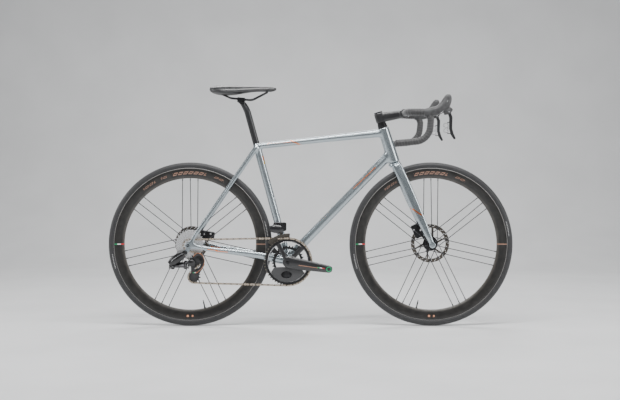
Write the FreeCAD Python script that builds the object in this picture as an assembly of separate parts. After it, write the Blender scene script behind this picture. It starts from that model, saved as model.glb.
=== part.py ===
import FreeCAD, Part
import math
import os

# Road bicycle, millimetres. +X is forward, +Z is up, the drive side is -Y.
# The origin is on the ground, midway between the two axles.

# --- wheels and tyres -------------------------------------------------------
WHEEL_BASE = 998.0
BEAD_SEAT_R = 311.0
TYRE_HEIGHT = 27.5
TYRE_ROUND_R = 14.0
TYRE_WALL = 1.8
RIM_DEPTH = 43.0
RIM_HOOK_R = 315.0
RIM_HALF_WIDTH = 12.5
RIM_BED_HALF_WIDTH = 8.0
RIM_WALL = 1.6
SPOKE_GROUPS = 7
SPOKE_HALF_CHORD = 1.6
SPOKE_HALF_THICKNESS = 0.7
SPOKE_CROSS_GAP = 1.6
NIPPLE_R = 2.2
NIPPLE_LENGTH = 9.0
FRONT_SPOKE_OFFSET = 29.0
REAR_SPOKE_OFFSET = 32.0
FRONT_HALF_HUB = 50.0
REAR_HALF_HUB = 71.0
FRONT_FLANGE_DISC = 24.0
FRONT_FLANGE_PLAIN = -33.0
REAR_FLANGE_DRIVE = -17.0
REAR_FLANGE_DISC = 34.0
HUB_BARREL_R = 12.5
HUB_AXLE_R = 8.5
END_CAP_R = 10.5
THRU_AXLE_R = 6.0
RUNNING = 0.05

# --- brakes -----------------------------------------------------------------
FRONT_ROTOR_R = 80.0
REAR_ROTOR_R = 70.0
ROTOR_THICKNESS = 1.8
ROTOR_TRACK = 15.0
ROTOR_INSET = 15.0
ROTOR_SEAT_R = 17.0
PAD_THICKNESS = 2.4
PAD_GAP = 0.25
CALIPER_LENGTH = 58.0
CALIPER_DEPTH = 32.0
CALIPER_INNER = 10.0
CALIPER_OUTER = 18.0

# --- drivetrain -------------------------------------------------------------
PITCH = 12.7
BIG_RING_TEETH = 48
SMALL_RING_TEETH = 32
COG_TEETH = [10, 11, 12, 13, 14, 15, 17, 19, 21, 23, 26, 29]
COG_IN_USE = 1
COG_STEP = 3.55
FIRST_COG_Y = -63.0
COG_THICKNESS = 1.7
RING_THICKNESS = 1.8
BIG_RING_Y = -46.0
RING_STEP = 7.6
JOCKEY_TEETH = 12
ROLLER_R = 3.8
SEAT_CLEARANCE = 0.15
TOOTH_RISE = 2.3
TOOTH_GAP = 0.44
CHAIN_HALF_WIDTH = 2.6
OUTER_PLATE = 0.65
INNER_PLATE = 0.75
INNER_HALF_GAP = 1.15
PIN_R = 1.6
CRANK_LENGTH = 170.0
CRANK_DROOP = 9.4
SPINDLE_R = 12.0
ARM_INNER_Y = 52.0
PEDAL_HOLE_R = 7.14
PEDAL_BOSS_R = 14.0
PEDAL_FACE_Y = 73.0
PEDAL_BOSS_WIDTH = 13.0
SPIDER_BOLTS_R = 56.0

# --- frame ------------------------------------------------------------------
BB_DROP = 70.0
REAR_CENTRE = 406.0
BB_SHELL_R = 23.0
BB_SHELL_HALF = 34.0
HEAD_ANGLE = 72.5
FORK_RAKE = 45.0
HEAD_BOTTOM = 369.0
HEAD_TOP = 518.0
HEAD_TOP_R = 23.2
HEAD_BOTTOM_R = 25.6
HEAD_BORE_R = 20.5
STEERER_R = 14.3
SEAT_ANGLE = 74.75
SEAT_TUBE_R = 15.5
SEAT_TUBE_TOP = 512.0
SEATPOST_R = 13.6
TUBE_WALL = 1.5
TOP_TUBE_REAR = 492.0
TOP_TUBE_FRONT = 498.0
DOWN_TUBE_MEET = 410.0
BOSS_SPACING = 64.0
BOSS_R = 5.0
BOSS_HOLE_R = 2.1
DROPOUT_THICKNESS = 8.0

# --- cockpit ----------------------------------------------------------------
SPACER_HEIGHT = 25.0
STEM_STACK = 40.0
STEM_LENGTH = 101.0
BAR_R = 11.9
TAPE_THICKNESS = 1.6
BAR_HALF_WIDTH = 201.5
LEVER_THICKNESS = 7.0

ACROSS = FreeCAD.Vector(0, 1, 0)


def vec(x, y, z):
    return FreeCAD.Vector(x, y, z)


TYRE_R = BEAD_SEAT_R + TYRE_HEIGHT
RIM_BED_R = RIM_HOOK_R - RIM_DEPTH
FRONT = vec(WHEEL_BASE / 2, 0, TYRE_R)
REAR = vec(-WHEEL_BASE / 2, 0, TYRE_R)
BB = vec(REAR.x + REAR_CENTRE, 0, TYRE_R - BB_DROP)
HEAD_DIR = vec(-math.cos(math.radians(HEAD_ANGLE)), 0, math.sin(math.radians(HEAD_ANGLE)))
HEAD_FORE = vec(HEAD_DIR.z, 0, -HEAD_DIR.x)
HEAD_FOOT = FRONT - HEAD_FORE * FORK_RAKE
SEAT_DIR = vec(-math.cos(math.radians(SEAT_ANGLE)), 0, math.sin(math.radians(SEAT_ANGLE)))
SEAT_FORE = vec(SEAT_DIR.z, 0, -SEAT_DIR.x)
CRANK_DIR = vec(math.cos(math.radians(CRANK_DROOP)), 0, -math.sin(math.radians(CRANK_DROOP)))
CHAIN_Y = FIRST_COG_Y + COG_IN_USE * COG_STEP
FRONT_ROTOR_Y = FRONT_HALF_HUB - ROTOR_INSET
REAR_ROTOR_Y = REAR_HALF_HUB - ROTOR_INSET


# --- general helpers --------------------------------------------------------
def save(name, *shapes):
    """Write one sub-part; several solids become one group."""
    solids = [solid for shape in shapes for solid in shape.Solids]
    whole = solids[0] if len(solids) == 1 else Part.makeCompound(solids)
    whole.exportStep("parts/" + name + ".step")


def at_y(point, y):
    return vec(point.x, y, point.z)


def steer(along, forward=0.0, y=0.0):
    """A point given along the steering axis and forward of it."""
    return HEAD_FOOT + HEAD_DIR * along + HEAD_FORE * forward + ACROSS * y


def seat(along, forward=0.0, y=0.0):
    """A point given along the seat tube from the crank axis and forward of it."""
    return BB + SEAT_DIR * along + SEAT_FORE * forward + ACROSS * y


def disc(centre, radius, y0, y1):
    """A cylinder along Y."""
    return Part.makeCylinder(radius, y1 - y0, at_y(centre, y0), ACROSS)


def rod(start, end, radius):
    return Part.makeCylinder(radius, (end - start).Length, start, end - start)


def mirrored(shape):
    """The same shape on the other side of the bicycle."""
    return shape.mirror(vec(0, 0, 0), ACROSS)


def both_sides(shape):
    return [shape, mirrored(shape)]


def polar(centre, radius, angle, y):
    return vec(centre.x + radius * math.cos(angle), y, centre.z + radius * math.sin(angle))


def closed(points):
    return Part.makePolygon(list(points) + [points[0]])


def plate(points, y0, y1):
    """A flat plate cut to an outline of (x, z) points."""
    outline = closed([vec(x, y0, z) for x, z in points])
    return Part.Face(outline).extrude(ACROSS * (y1 - y0))


def strap(a, ra, b, rb, y0, y1):
    """A plate with two round ends, joined by their outer tangents."""
    angle = math.atan2(b.z - a.z, b.x - a.x)
    lean = math.acos((ra - rb) / math.hypot(b.x - a.x, b.z - a.z))
    back = [polar(a, ra, angle + turn, y0) for turn in (lean, math.pi, -lean)]
    front = [polar(b, rb, angle + turn, y0) for turn in (-lean, 0.0, lean)]
    edges = [Part.Arc(*back).toShape(), Part.makeLine(back[2], front[0])]
    edges += [Part.Arc(*front).toShape(), Part.makeLine(front[2], back[0])]
    return Part.Face(Part.Wire(edges)).extrude(ACROSS * (y1 - y0))


def turned(centre, profile):
    """A solid turned about Y from (y, radius) corners."""
    outline = closed([vec(centre.x, y, centre.z + radius) for y, radius in profile])
    return Part.Face(outline).revolve(centre, ACROSS, 360)


def oval(centre, across, side, half_across, half_side, squareness):
    """A closed smooth outline between an ellipse (2) and a rectangle (large)."""
    points = []
    for step in range(16):
        turn = 2 * math.pi * step / 16
        c = math.cos(turn)
        s = math.sin(turn)
        u = math.copysign(abs(c) ** (2 / squareness), c) * half_across
        v = math.copysign(abs(s) ** (2 / squareness), s) * half_side
        points.append(centre + across * u + side * v)
    curve = Part.BSplineCurve()
    curve.interpolate(Points=points, PeriodicFlag=True)
    return Part.Wire(curve.toShape())


def tube(stations, wall=0.0, squareness=2.0, first_across=None):
    """A smooth tube through (point, half height, half width) stations."""
    points = [station[0] for station in stations]
    last = len(points) - 1
    across = first_across
    outlines = []
    for index, (point, half_across, half_side) in enumerate(stations):
        ahead = (points[min(index + 1, last)] - points[max(index - 1, 0)]).normalize()
        if across is None:
            across = ACROSS.cross(ahead)
        across = (across - ahead * across.dot(ahead)).normalize()
        side = ahead.cross(across)
        outlines.append(oval(point, across, side, half_across - wall, half_side - wall, squareness))
    return Part.makeLoft(outlines, True, False)


def hollow_tube(stations, squareness=2.0):
    return tube(stations, 0.0, squareness).cut(tube(stations, TUBE_WALL, squareness))


def swept(points, bends, radius):
    """A round rod along straight runs joined by tangent arcs of the given radii."""
    edges = []
    start = points[0]
    for corner, following, bend in zip(points[1:], points[2:], bends):
        back = (start - corner).normalize()
        ahead = (following - corner).normalize()
        half = math.acos(max(-1.0, min(1.0, back.dot(ahead)))) / 2
        reach = bend / math.tan(half)
        middle = corner + (back + ahead).normalize() * (bend / math.sin(half) - bend)
        entry = corner + back * reach
        leave = corner + ahead * reach
        edges += [Part.makeLine(start, entry), Part.Arc(entry, middle, leave).toShape()]
        start = leave
    edges.append(Part.makeLine(start, points[-1]))
    circle = Part.Wire(Part.makeCircle(radius, points[0], points[1] - points[0]))
    return Part.Wire(edges).makePipeShell([circle], True, True)


# --- chain drive ------------------------------------------------------------
def pitch_radius(teeth):
    return PITCH / (2 * math.sin(math.pi / teeth))


def sprocket(centre, teeth, middle_y, thickness, bore, gap_angle):
    """A toothed disc with one roller seat at gap_angle (radians)."""
    radius = pitch_radius(teeth)
    seat_r = ROLLER_R + SEAT_CLEARANCE
    low = seat_r * math.cos(math.radians(60))
    wide = seat_r * math.sin(math.radians(60))
    tip_gap = TOOTH_GAP * PITCH
    start_y = middle_y - thickness / 2
    edges = []
    tips = []
    for tooth in range(teeth):
        angle = gap_angle + 2 * math.pi * tooth / teeth
        out = vec(math.cos(angle), 0, math.sin(angle))
        along = vec(-out.z, 0, out.x)
        middle = at_y(centre, start_y) + out * radius
        entry = middle - along * tip_gap + out * TOOTH_RISE
        left = middle - along * wide - out * low
        bottom = middle - out * seat_r
        right = middle + along * wide - out * low
        leave = middle + along * tip_gap + out * TOOTH_RISE
        edges.append([Part.makeLine(entry, left), Part.Arc(left, bottom, right).toShape(),
                      Part.makeLine(right, leave)])
        tips.append((entry, leave))
    outline = []
    for tooth in range(teeth):
        outline += edges[tooth]
        outline.append(Part.makeLine(tips[tooth][1], tips[(tooth + 1) % teeth][0]))
    body = Part.Face(Part.Wire(outline)).extrude(ACROSS * thickness)
    return body.cut(disc(centre, bore, middle_y - thickness, middle_y + thickness))


CAGE_PIVOT = REAR + vec(16.0, 0, -73.0)
UPPER_JOCKEY_REACH = vec(16.0, 0, 14.0)
LOWER_JOCKEY_REACH = vec(9.5, 0, -56.5)


def turn_about_y(offset, angle):
    """Turn an XZ offset; positive carries +Z towards +X (radians)."""
    c = math.cos(angle)
    s = math.sin(angle)
    return vec(offset.x * c + offset.z * s, 0, offset.z * c - offset.x * s)


class ChainPath:
    """The closed run of the chain, counted in links from the top of the big ring.

    Each wheel is (centre, teeth, way, y); way is +1 where the chain turns it
    forwards and -1 where it turns it backwards.
    """

    def __init__(self, cage_angle):
        self.upper = CAGE_PIVOT + turn_about_y(UPPER_JOCKEY_REACH, cage_angle)
        self.lower = CAGE_PIVOT + turn_about_y(LOWER_JOCKEY_REACH, cage_angle)
        self.wheels = [
            (BB, BIG_RING_TEETH, 1, BIG_RING_Y),
            (self.lower, JOCKEY_TEETH, 1, CHAIN_Y),
            (self.upper, JOCKEY_TEETH, -1, CHAIN_Y),
            (REAR, COG_TEETH[COG_IN_USE], 1, CHAIN_Y),
        ]
        self.pieces = []
        count = len(self.wheels)
        leave = [self.tangent(self.wheels[i], self.wheels[(i + 1) % count]) for i in range(count)]
        for i in range(count):
            centre, teeth, way, y = self.wheels[i]
            start = leave[i - 1]
            wrap = (way * (start - leave[i])) % (2 * math.pi)
            begin = start
            self.pieces.append(("wrap", i, begin, way, wrap * teeth / (2 * math.pi)))
            self.pieces.append(("run", i, leave[i], way, self.run_length(i, leave[i]) / PITCH))
        self.links = sum(piece[4] for piece in self.pieces)

    def tangent(self, this, following):
        """The polar angle at which the chain leaves this wheel for the next."""
        gap = following[0] - this[0]
        r1 = pitch_radius(this[1]) * this[2]
        r2 = pitch_radius(following[1]) * following[2]
        return math.atan2(gap.z, gap.x) + math.acos((r1 - r2) / math.hypot(gap.x, gap.z))

    def touch(self, i, angle):
        centre, teeth, way, y = self.wheels[i]
        return polar(centre, pitch_radius(teeth) * way, angle, y)

    def run_length(self, i, angle):
        following = (i + 1) % len(self.wheels)
        return (self.touch(following, angle) - self.touch(i, angle)).Length

    def locate(self, link):
        """The point reached after so many links."""
        link = link % self.links
        for kind, i, angle, way, span in self.pieces:
            if link <= span:
                break
            link -= span
        if kind == "wrap":
            teeth = self.wheels[i][1]
            return self.touch(i, angle - way * 2 * math.pi * link / teeth)
        start = self.touch(i, angle)
        end = self.touch((i + 1) % len(self.wheels), angle)
        part = link / span
        ease = part ** 3 * (10 - 15 * part + 6 * part * part)
        point = start + (end - start) * part
        return vec(point.x, start.y + (end.y - start.y) * ease, point.z)

    def gap_angle(self, i):
        """The angle of one roller seat on wheel i."""
        passed = sum(piece[4] for piece in self.pieces[:2 * i])
        kind, index, angle, way, span = self.pieces[2 * i]
        first = math.ceil(passed) - passed
        centre, teeth, way, y = self.wheels[i]
        point = self.touch(i, angle - way * 2 * math.pi * first / teeth)
        return math.atan2(point.z - centre.z, point.x - centre.x)


def settled_chain():
    """The path whose cage angle closes the chain on a whole, even link count."""
    even = 2 * round(ChainPath(0.0).links / 2)
    low = -0.5
    high = 0.5
    for _ in range(40):
        middle = (low + high) / 2
        if ChainPath(middle).links < even:
            low = middle
        else:
            high = middle
    return ChainPath(middle), even, middle


def chain(path, links):
    plate_r = 4.1
    ends = (vec(0, 0, 0), vec(PITCH, 0, 0))
    outer = rod_pair(ends, PIN_R, CHAIN_HALF_WIDTH)
    for side in (-CHAIN_HALF_WIDTH, CHAIN_HALF_WIDTH - OUTER_PLATE):
        outer = outer.fuse(strap(ends[0], plate_r, ends[1], plate_r - 0.01, side, side + OUTER_PLATE))
    inner = rod_pair(ends, ROLLER_R, INNER_HALF_GAP)
    for side in (-INNER_HALF_GAP - INNER_PLATE, INNER_HALF_GAP):
        inner = inner.fuse(strap(ends[0], plate_r, ends[1], plate_r - 0.01, side, side + INNER_PLATE))
    inner = inner.cut(rod_pair(ends, PIN_R + 0.1, CHAIN_HALF_WIDTH))
    solids = []
    for index in range(links):
        link = (outer if index % 2 else inner).copy()
        solids.append(level_link(link, path.locate(index), path.locate(index + 1)))
    return solids


def level_link(link, start, end):
    """Keep the link's pins parallel to Y as nearly as its direction allows."""
    ahead = (end - start).normalize()
    side = (ACROSS - ahead * ACROSS.dot(ahead)).normalize()
    up = ahead.cross(side)
    link.Placement = FreeCAD.Placement(start, FreeCAD.Rotation(ahead, side, up, "XYZ"))
    return link


def rod_pair(ends, radius, half_length):
    first = disc(ends[0], radius, -half_length, half_length)
    return first.fuse(disc(ends[1], radius, -half_length, half_length))


def cassette(path):
    """Twelve cogs, their spacers, the freewheel body and the lock ring."""
    body_r = 14.0
    solids = []
    for index, teeth in enumerate(COG_TEETH):
        middle = FIRST_COG_Y + index * COG_STEP
        gap = path.gap_angle(3) if index == COG_IN_USE else 0.1 * index
        solids.append(sprocket(REAR, teeth, middle, COG_THICKNESS, body_r, gap))
        if index + 1 < len(COG_TEETH):
            start = middle + COG_THICKNESS / 2
            end = start + COG_STEP - COG_THICKNESS
            solids.append(ring(REAR, body_r + 1.5, body_r, start, end))
    inner = FIRST_COG_Y + (len(COG_TEETH) - 1) * COG_STEP + COG_THICKNESS / 2
    outer = FIRST_COG_Y - COG_THICKNESS / 2
    solids.append(ring(REAR, body_r, HUB_AXLE_R + RUNNING, outer, inner + 0.5))
    solids.append(ring(REAR, body_r + 1.0, HUB_AXLE_R + RUNNING, outer - 1.8, outer))
    return solids


def ring(centre, outer, inner, y0, y1):
    return disc(centre, outer, y0, y1).cut(disc(centre, inner, y0 - 1, y1 + 1))


def chainrings(path):
    big = sprocket(BB, BIG_RING_TEETH, BIG_RING_Y, RING_THICKNESS, 82.0, path.gap_angle(0))
    small_y = BIG_RING_Y + RING_STEP
    small = sprocket(BB, SMALL_RING_TEETH, small_y, RING_THICKNESS, 52.0, 0.0)
    tabs = []
    for index in range(4):
        angle = math.radians(50 + 90 * index)
        bolt = polar(BB, SPIDER_BOLTS_R, angle, 0)
        tab = strap(bolt, 7.0, polar(BB, 84.0, angle, 0), 10.0,
                    BIG_RING_Y - RING_THICKNESS / 2, BIG_RING_Y + RING_THICKNESS / 2)
        big = big.fuse(tab)
        tabs.append(disc(bolt, 4.0, BIG_RING_Y + RING_THICKNESS / 2, small_y - RING_THICKNESS / 2))
    return [big, small] + tabs


# --- cranks -----------------------------------------------------------------
def crank_arm(way):
    """One arm on the drive side; way is +1 along the drive crank, -1 opposite."""
    ahead = CRANK_DIR * way
    stations = []
    for along, half_height, half_width, y in ((0.0, 24.0, 7.0, -ARM_INNER_Y - 7.0),
                                              (0.35, 22.5, 7.0, -61.5),
                                              (0.7, 18.5, 6.5, -65.0),
                                              (1.0, 15.0, 6.0, -66.5)):
        stations.append((at_y(BB + ahead * CRANK_LENGTH * along, y), half_height, half_width))
    arm = tube(stations, 0.0, 3.2)
    arm = arm.fuse(disc(BB, 22.0, -ARM_INNER_Y - 14.0, -ARM_INNER_Y))
    pedal = BB + ahead * CRANK_LENGTH
    arm = arm.fuse(disc(pedal, PEDAL_BOSS_R, -PEDAL_FACE_Y, -PEDAL_FACE_Y + PEDAL_BOSS_WIDTH))
    return arm.cut(disc(pedal, PEDAL_HOLE_R, -PEDAL_FACE_Y - 5, -ARM_INNER_Y))


def crank_right():
    """Drive arm, four-arm spider and the spindle that is bonded to it."""
    arm = crank_arm(1)
    face = BIG_RING_Y - RING_THICKNESS / 2
    for index in range(4):
        angle = math.radians(50 + 90 * index)
        bolt = polar(BB, SPIDER_BOLTS_R, angle, 0)
        arm = arm.fuse(strap(BB, 18.0, bolt, 8.0, face - 7.0, face))
    seat_y = -ARM_INNER_Y - 10.0
    arm = arm.cut(disc(BB, SPINDLE_R + RUNNING, seat_y, 0.0))
    return [arm, disc(BB, SPINDLE_R, seat_y + RUNNING, ARM_INNER_Y + 8.0)]


def crank_left():
    spindle = disc(BB, SPINDLE_R, ARM_INNER_Y - 10.0, ARM_INNER_Y + 8.0)
    return mirrored(crank_arm(-1)).cut(spindle)


# --- wheels -----------------------------------------------------------------
def tyre(centre):
    middle = TYRE_R - TYRE_ROUND_R
    hook_y = RIM_HALF_WIDTH - RIM_WALL
    bead = BEAD_SEAT_R + 0.2
    foot = math.sqrt(TYRE_ROUND_R ** 2 - (hook_y - 0.6) ** 2)

    def at(y, radius):
        return vec(centre.x, y, centre.z + radius)

    outer = [at(-hook_y + 0.6, middle - foot), at(0, TYRE_R), at(hook_y - 0.6, middle - foot)]
    inner_r = TYRE_ROUND_R - TYRE_WALL
    inner_foot = math.sqrt(inner_r ** 2 - (hook_y - 3.0) ** 2)
    inner = [at(hook_y - 3.0, middle - inner_foot), at(0, middle + inner_r),
             at(-hook_y + 3.0, middle - inner_foot)]
    edges = [Part.Arc(*outer).toShape()]
    path = [outer[2], at(hook_y - 0.6, bead), at(hook_y - 3.0, bead), inner[0]]
    edges += [Part.makeLine(path[i], path[i + 1]) for i in range(3)]
    edges.append(Part.Arc(*inner).toShape())
    path = [inner[2], at(-hook_y + 3.0, bead), at(-hook_y + 0.6, bead), outer[0]]
    edges += [Part.makeLine(path[i], path[i + 1]) for i in range(3)]
    return Part.Face(Part.Wire(edges)).revolve(centre, ACROSS, 360)


def rim(centre):
    """A deep rim with a hollow core; its side walls bulge gently."""
    def wall(inset, low, high):
        return [(RIM_BED_HALF_WIDTH * 0.45 - inset * 0.3, low),
                (RIM_BED_HALF_WIDTH - inset, low + 5.0),
                (RIM_HALF_WIDTH - 1.2 - inset, low + 0.45 * (high - low)),
                (RIM_HALF_WIDTH - inset, low + 0.75 * (high - low)),
                (RIM_HALF_WIDTH - inset, high)]

    hook_y = RIM_HALF_WIDTH - RIM_WALL
    bed_floor = BEAD_SEAT_R - 3.0
    side = wall(0.0, RIM_BED_R, RIM_HOOK_R)
    well = [(hook_y, RIM_HOOK_R), (hook_y, BEAD_SEAT_R), (4.0, BEAD_SEAT_R), (3.0, bed_floor)]
    outline = side + well
    outline += [(-y, radius) for y, radius in reversed(outline)]
    body = turned(centre, outline)
    inner = wall(RIM_WALL, RIM_BED_R + RIM_WALL, bed_floor - RIM_WALL - 1.0)
    core = inner + [(-y, radius) for y, radius in reversed(inner)]
    return body.cut(turned(centre, core))


def spoke(centre, angle, offset, hub_y, hub_r):
    """One bladed spoke with its nipple, parallel to the radial line at angle."""
    out = vec(math.cos(angle), 0, math.sin(angle))
    along = vec(-out.z, 0, out.x)
    reach = math.sqrt(RIM_BED_R ** 2 - offset ** 2)
    start = centre + out * hub_r + along * offset + ACROSS * hub_y
    end = centre + out * (reach - NIPPLE_LENGTH) + along * offset
    stations = [(point, SPOKE_HALF_CHORD, SPOKE_HALF_THICKNESS) for point in (start, end)]
    blade = tube(stations, 0.0, 2.0, along)
    nipple = rod(end, centre + out * (reach - 0.5) + along * offset, NIPPLE_R)
    return blade.fuse(nipple)


def spokes(centre, offset, pair_y, single_y, pair_hub, single_hub):
    """Seven groups: two parallel spokes on one flange round a radial one on the other."""
    solids = []
    for group in range(SPOKE_GROUPS):
        angle = math.pi / 2 + 2 * math.pi * group / SPOKE_GROUPS
        for way in (-1, 1):
            solids.append(spoke(centre, angle, way * offset, pair_y + way * SPOKE_CROSS_GAP, pair_hub))
        solids.append(spoke(centre, angle, 0.0, single_y, single_hub))
    return solids


def hub(centre, low, high, flanges, disc_y):
    """A hub shell with two flanges and a centre-lock seat for the rotor."""
    wide_y, wide_r, small_y, small_r = flanges
    bore = HUB_AXLE_R + RUNNING
    shell = ring(centre, HUB_BARREL_R, bore, low, high)
    shell = shell.fuse(ring(centre, wide_r, bore, wide_y - 2.5, wide_y + 2.5))
    shell = shell.fuse(ring(centre, small_r, bore, small_y - 2.5, small_y + 2.5))
    seat_ring = ring(centre, ROTOR_SEAT_R, bore, high, disc_y - ROTOR_THICKNESS / 2 + 1.5)
    return shell.fuse(seat_ring)


def hub_axle(centre, half, end_r=END_CAP_R):
    """The still axle tube of a hub with its end caps."""
    tube_solid = ring(centre, HUB_AXLE_R, THRU_AXLE_R, -half, half)
    for y0, y1 in ((-half, -half + 3.0), (half - 3.0, half)):
        tube_solid = tube_solid.fuse(ring(centre, end_r, THRU_AXLE_R, y0, y1))
    return tube_solid


def thru_axle(centre, half, tail):
    """A thru-axle with a flanged head on the left."""
    shaft = disc(centre, THRU_AXLE_R, -tail, half)
    head = ring(centre, 9.0, 3.0, half, half + 3.0)
    return shaft.fuse(head).cut(disc(centre, 3.0, -tail - 1, -tail + 12)).cut(
        disc(centre, 3.0, half - 10, half + 5))


def rotor(centre, radius, y):
    """A ventilated brake disc on a six-arm carrier."""
    y0 = y - ROTOR_THICKNESS / 2
    y1 = y + ROTOR_THICKNESS / 2
    track = ring(centre, radius, radius - ROTOR_TRACK, y0, y1)
    for index in range(24):
        angle = 2 * math.pi * index / 24
        for step, inset in ((0.0, 4.0), (0.08, 9.5)):
            hole = polar(centre, radius - inset, angle + step, 0)
            track = track.cut(disc(hole, 1.9, y0 - 1, y1 + 1))
    inner_r = ROTOR_SEAT_R
    arms = ring(centre, inner_r + 6.0, inner_r, y0, y1)
    for index in range(6):
        angle = 2 * math.pi * index / 6
        foot = polar(centre, inner_r + 4.5, angle, 0)
        tip = polar(centre, radius - ROTOR_TRACK + 2.0, angle + 0.35, 0)
        arms = arms.fuse(strap(foot, 4.0, tip, 3.0, y0, y1))
    bore = disc(centre, inner_r, y0 - 1, y1 + 1)
    lock = ring(centre, 19.0, HUB_AXLE_R + 3.0, y1, y1 + 2.5)
    return [track.fuse(arms).cut(bore), lock]


# --- brake calipers ---------------------------------------------------------
FRONT_CALIPER_DIR = vec(-0.42, 0, 0.907)
FRONT_CALIPER = FRONT + vec(-55.0, 1.0, 51.0)
REAR_CALIPER_DIR = vec(0.985, 0, -0.17)
REAR_CALIPER = REAR + vec(66.0, 0, 33.0)


def slanted_box(centre, ahead, half_length, half_depth, y0, y1):
    """A block lying along a direction in the XZ plane."""
    up = vec(-ahead.z, 0, ahead.x)
    corners = []
    for a, b in ((-1, -1), (1, -1), (1, 1), (-1, 1)):
        corner = centre + ahead * (a * half_length) + up * (b * half_depth)
        corners.append((corner.x, corner.z))
    return plate(corners, y0, y1)


def caliper(place, ahead, rotor_y, wheel_centre, rotor_r, seats):
    """A two-piston body with a slot for the rotor and its pads, faced to what it stands on."""
    body = slanted_box(place, ahead, CALIPER_LENGTH / 2, CALIPER_DEPTH / 2,
                       rotor_y - CALIPER_INNER, rotor_y + CALIPER_OUTER)
    sides = [edge for edge in body.Edges if abs(edge.tangentAt(edge.FirstParameter).y) > 0.9]
    body = body.makeFillet(6.0, sides)
    slot = ROTOR_THICKNESS / 2 + PAD_GAP + PAD_THICKNESS + 0.4
    reach = disc(wheel_centre, rotor_r + 2.5, rotor_y - slot, rotor_y + slot)
    body = body.cut(reach)
    for part in seats:
        body = body.cut(part)
    return max(body.Solids, key=lambda solid: solid.Volume)


def brake_pad(place, ahead, rotor_y, wheel_centre, rotor_r, way):
    """One pad on its backing plate, beside the rotor's braking track."""
    toward = (at_y(place, 0) - at_y(wheel_centre, 0)).normalize()
    middle = at_y(wheel_centre, 0) + toward * (rotor_r - ROTOR_TRACK / 2)
    cross = vec(-toward.z, 0, toward.x)
    face = rotor_y + way * (ROTOR_THICKNESS / 2 + PAD_GAP)
    back = face + way * PAD_THICKNESS
    return slanted_box(middle, cross, 9.0, 6.0, min(face, back), max(face, back))


# --- frame ------------------------------------------------------------------
def head_tube_solid():
    return Part.makeCone(HEAD_BOTTOM_R, HEAD_TOP_R, HEAD_TOP - HEAD_BOTTOM, steer(HEAD_BOTTOM), HEAD_DIR)


def head_tube():
    return head_tube_solid().cut(rod(steer(HEAD_BOTTOM - 1), steer(HEAD_TOP + 1), HEAD_BORE_R))


def seat_tube_solid():
    return rod(seat(0), seat(SEAT_TUBE_TOP), SEAT_TUBE_R)


def bb_solid():
    return disc(BB, BB_SHELL_R, -BB_SHELL_HALF, BB_SHELL_HALF)


def wedge_block(grow):
    """The space of the seat clamp wedge, in front of the post."""
    low = TOP_TUBE_REAR - 7.0 - grow
    high = TOP_TUBE_REAR + 7.0 + grow
    corners = [seat(low, 11.0), seat(low, 24.0 + grow), seat(high, 24.0 + grow), seat(high, 11.0)]
    return plate([(corner.x, corner.z) for corner in corners], -5.0 - grow, 5.0 + grow)


def seat_tube():
    tube_solid = seat_tube_solid().cut(rod(seat(-1), seat(SEAT_TUBE_TOP + 1), SEATPOST_R + RUNNING))
    for along in seat_tube_boss_places():
        tube_solid = tube_solid.cut(boss_hole(*along))
    return tube_solid.cut(bb_solid()).cut(wedge_block(0.0))


def seat_wedge():
    return wedge_block(0.0).cut(rod(seat(400), seat(600), SEATPOST_R + RUNNING))


def bb_shell():
    return bb_solid().cut(disc(BB, BB_SHELL_R - 4.0, -BB_SHELL_HALF - 1, BB_SHELL_HALF + 1))


def top_tube():
    rear = seat(TOP_TUBE_REAR)
    front = steer(TOP_TUBE_FRONT)
    stations = [(rear, 13.0, 14.0), (rear + (front - rear) * 0.5, 14.0, 15.0), (front, 17.5, 17.0)]
    tube_solid = hollow_tube(stations).cut(head_tube_solid()).cut(seat_tube_solid())
    tube_solid = tube_solid.cut(rod(steer(HEAD_TOP), steer(HEAD_TOP + 60.0), 50.0))
    return tube_solid.cut(wedge_block(0.0))


def down_tube():
    front = steer(DOWN_TUBE_MEET)
    rear = BB + vec(-5.0, 0, 4.0)
    stations = [(rear, 19.0, 21.0), (rear + (front - rear) * 0.5, 17.5, 18.5), (front, 18.0, 18.0)]
    tube_solid = hollow_tube(stations).cut(head_tube_solid()).cut(bb_solid()).cut(seat_tube_solid())
    for along in down_tube_boss_places():
        tube_solid = tube_solid.cut(boss_hole(*along))
    return tube_solid


def down_tube_boss_places():
    """Where the two bottle bosses stand on the down tube, and which way they point."""
    front = steer(DOWN_TUBE_MEET)
    rear = BB + vec(-5.0, 0, 4.0)
    ahead = (front - rear).normalize()
    out = vec(-ahead.z, 0, ahead.x)
    first = rear + ahead * 222.0
    return [(first + out * 17.0, out), (first + ahead * BOSS_SPACING + out * 17.0, out)]


def seat_tube_boss_places():
    return [(seat(200.0, SEAT_TUBE_R), SEAT_FORE),
            (seat(200.0 + BOSS_SPACING, SEAT_TUBE_R), SEAT_FORE)]


def boss_hole(place, out):
    return rod(place - out * 6.0, place + out * 6.0, BOSS_R)


def bottle_bosses():
    """Four threaded inserts for bottle cages."""
    solids = []
    for place, out in down_tube_boss_places() + seat_tube_boss_places():
        insert = rod(place - out * 4.0, place + out * 3.0, BOSS_R)
        solids.append(insert.cut(rod(place - out * 5.0, place + out * 5.0, BOSS_HOLE_R)))
    return solids


def stay_end_y():
    return REAR_HALF_HUB + DROPOUT_THICKNESS / 2


def dropout():
    """The left rear axle plate, with the thru-axle hole."""
    y0 = REAR_HALF_HUB
    y1 = REAR_HALF_HUB + DROPOUT_THICKNESS
    body = strap(REAR, 13.0, REAR + vec(48.0, 0, -9.0), 9.5, y0, y1)
    body = body.fuse(strap(REAR, 12.0, REAR + vec(26.0, 0, 34.0), 8.0, y0, y1))
    return body.cut(disc(REAR, THRU_AXLE_R + RUNNING, y0 - 1, y1 + 1))


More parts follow.
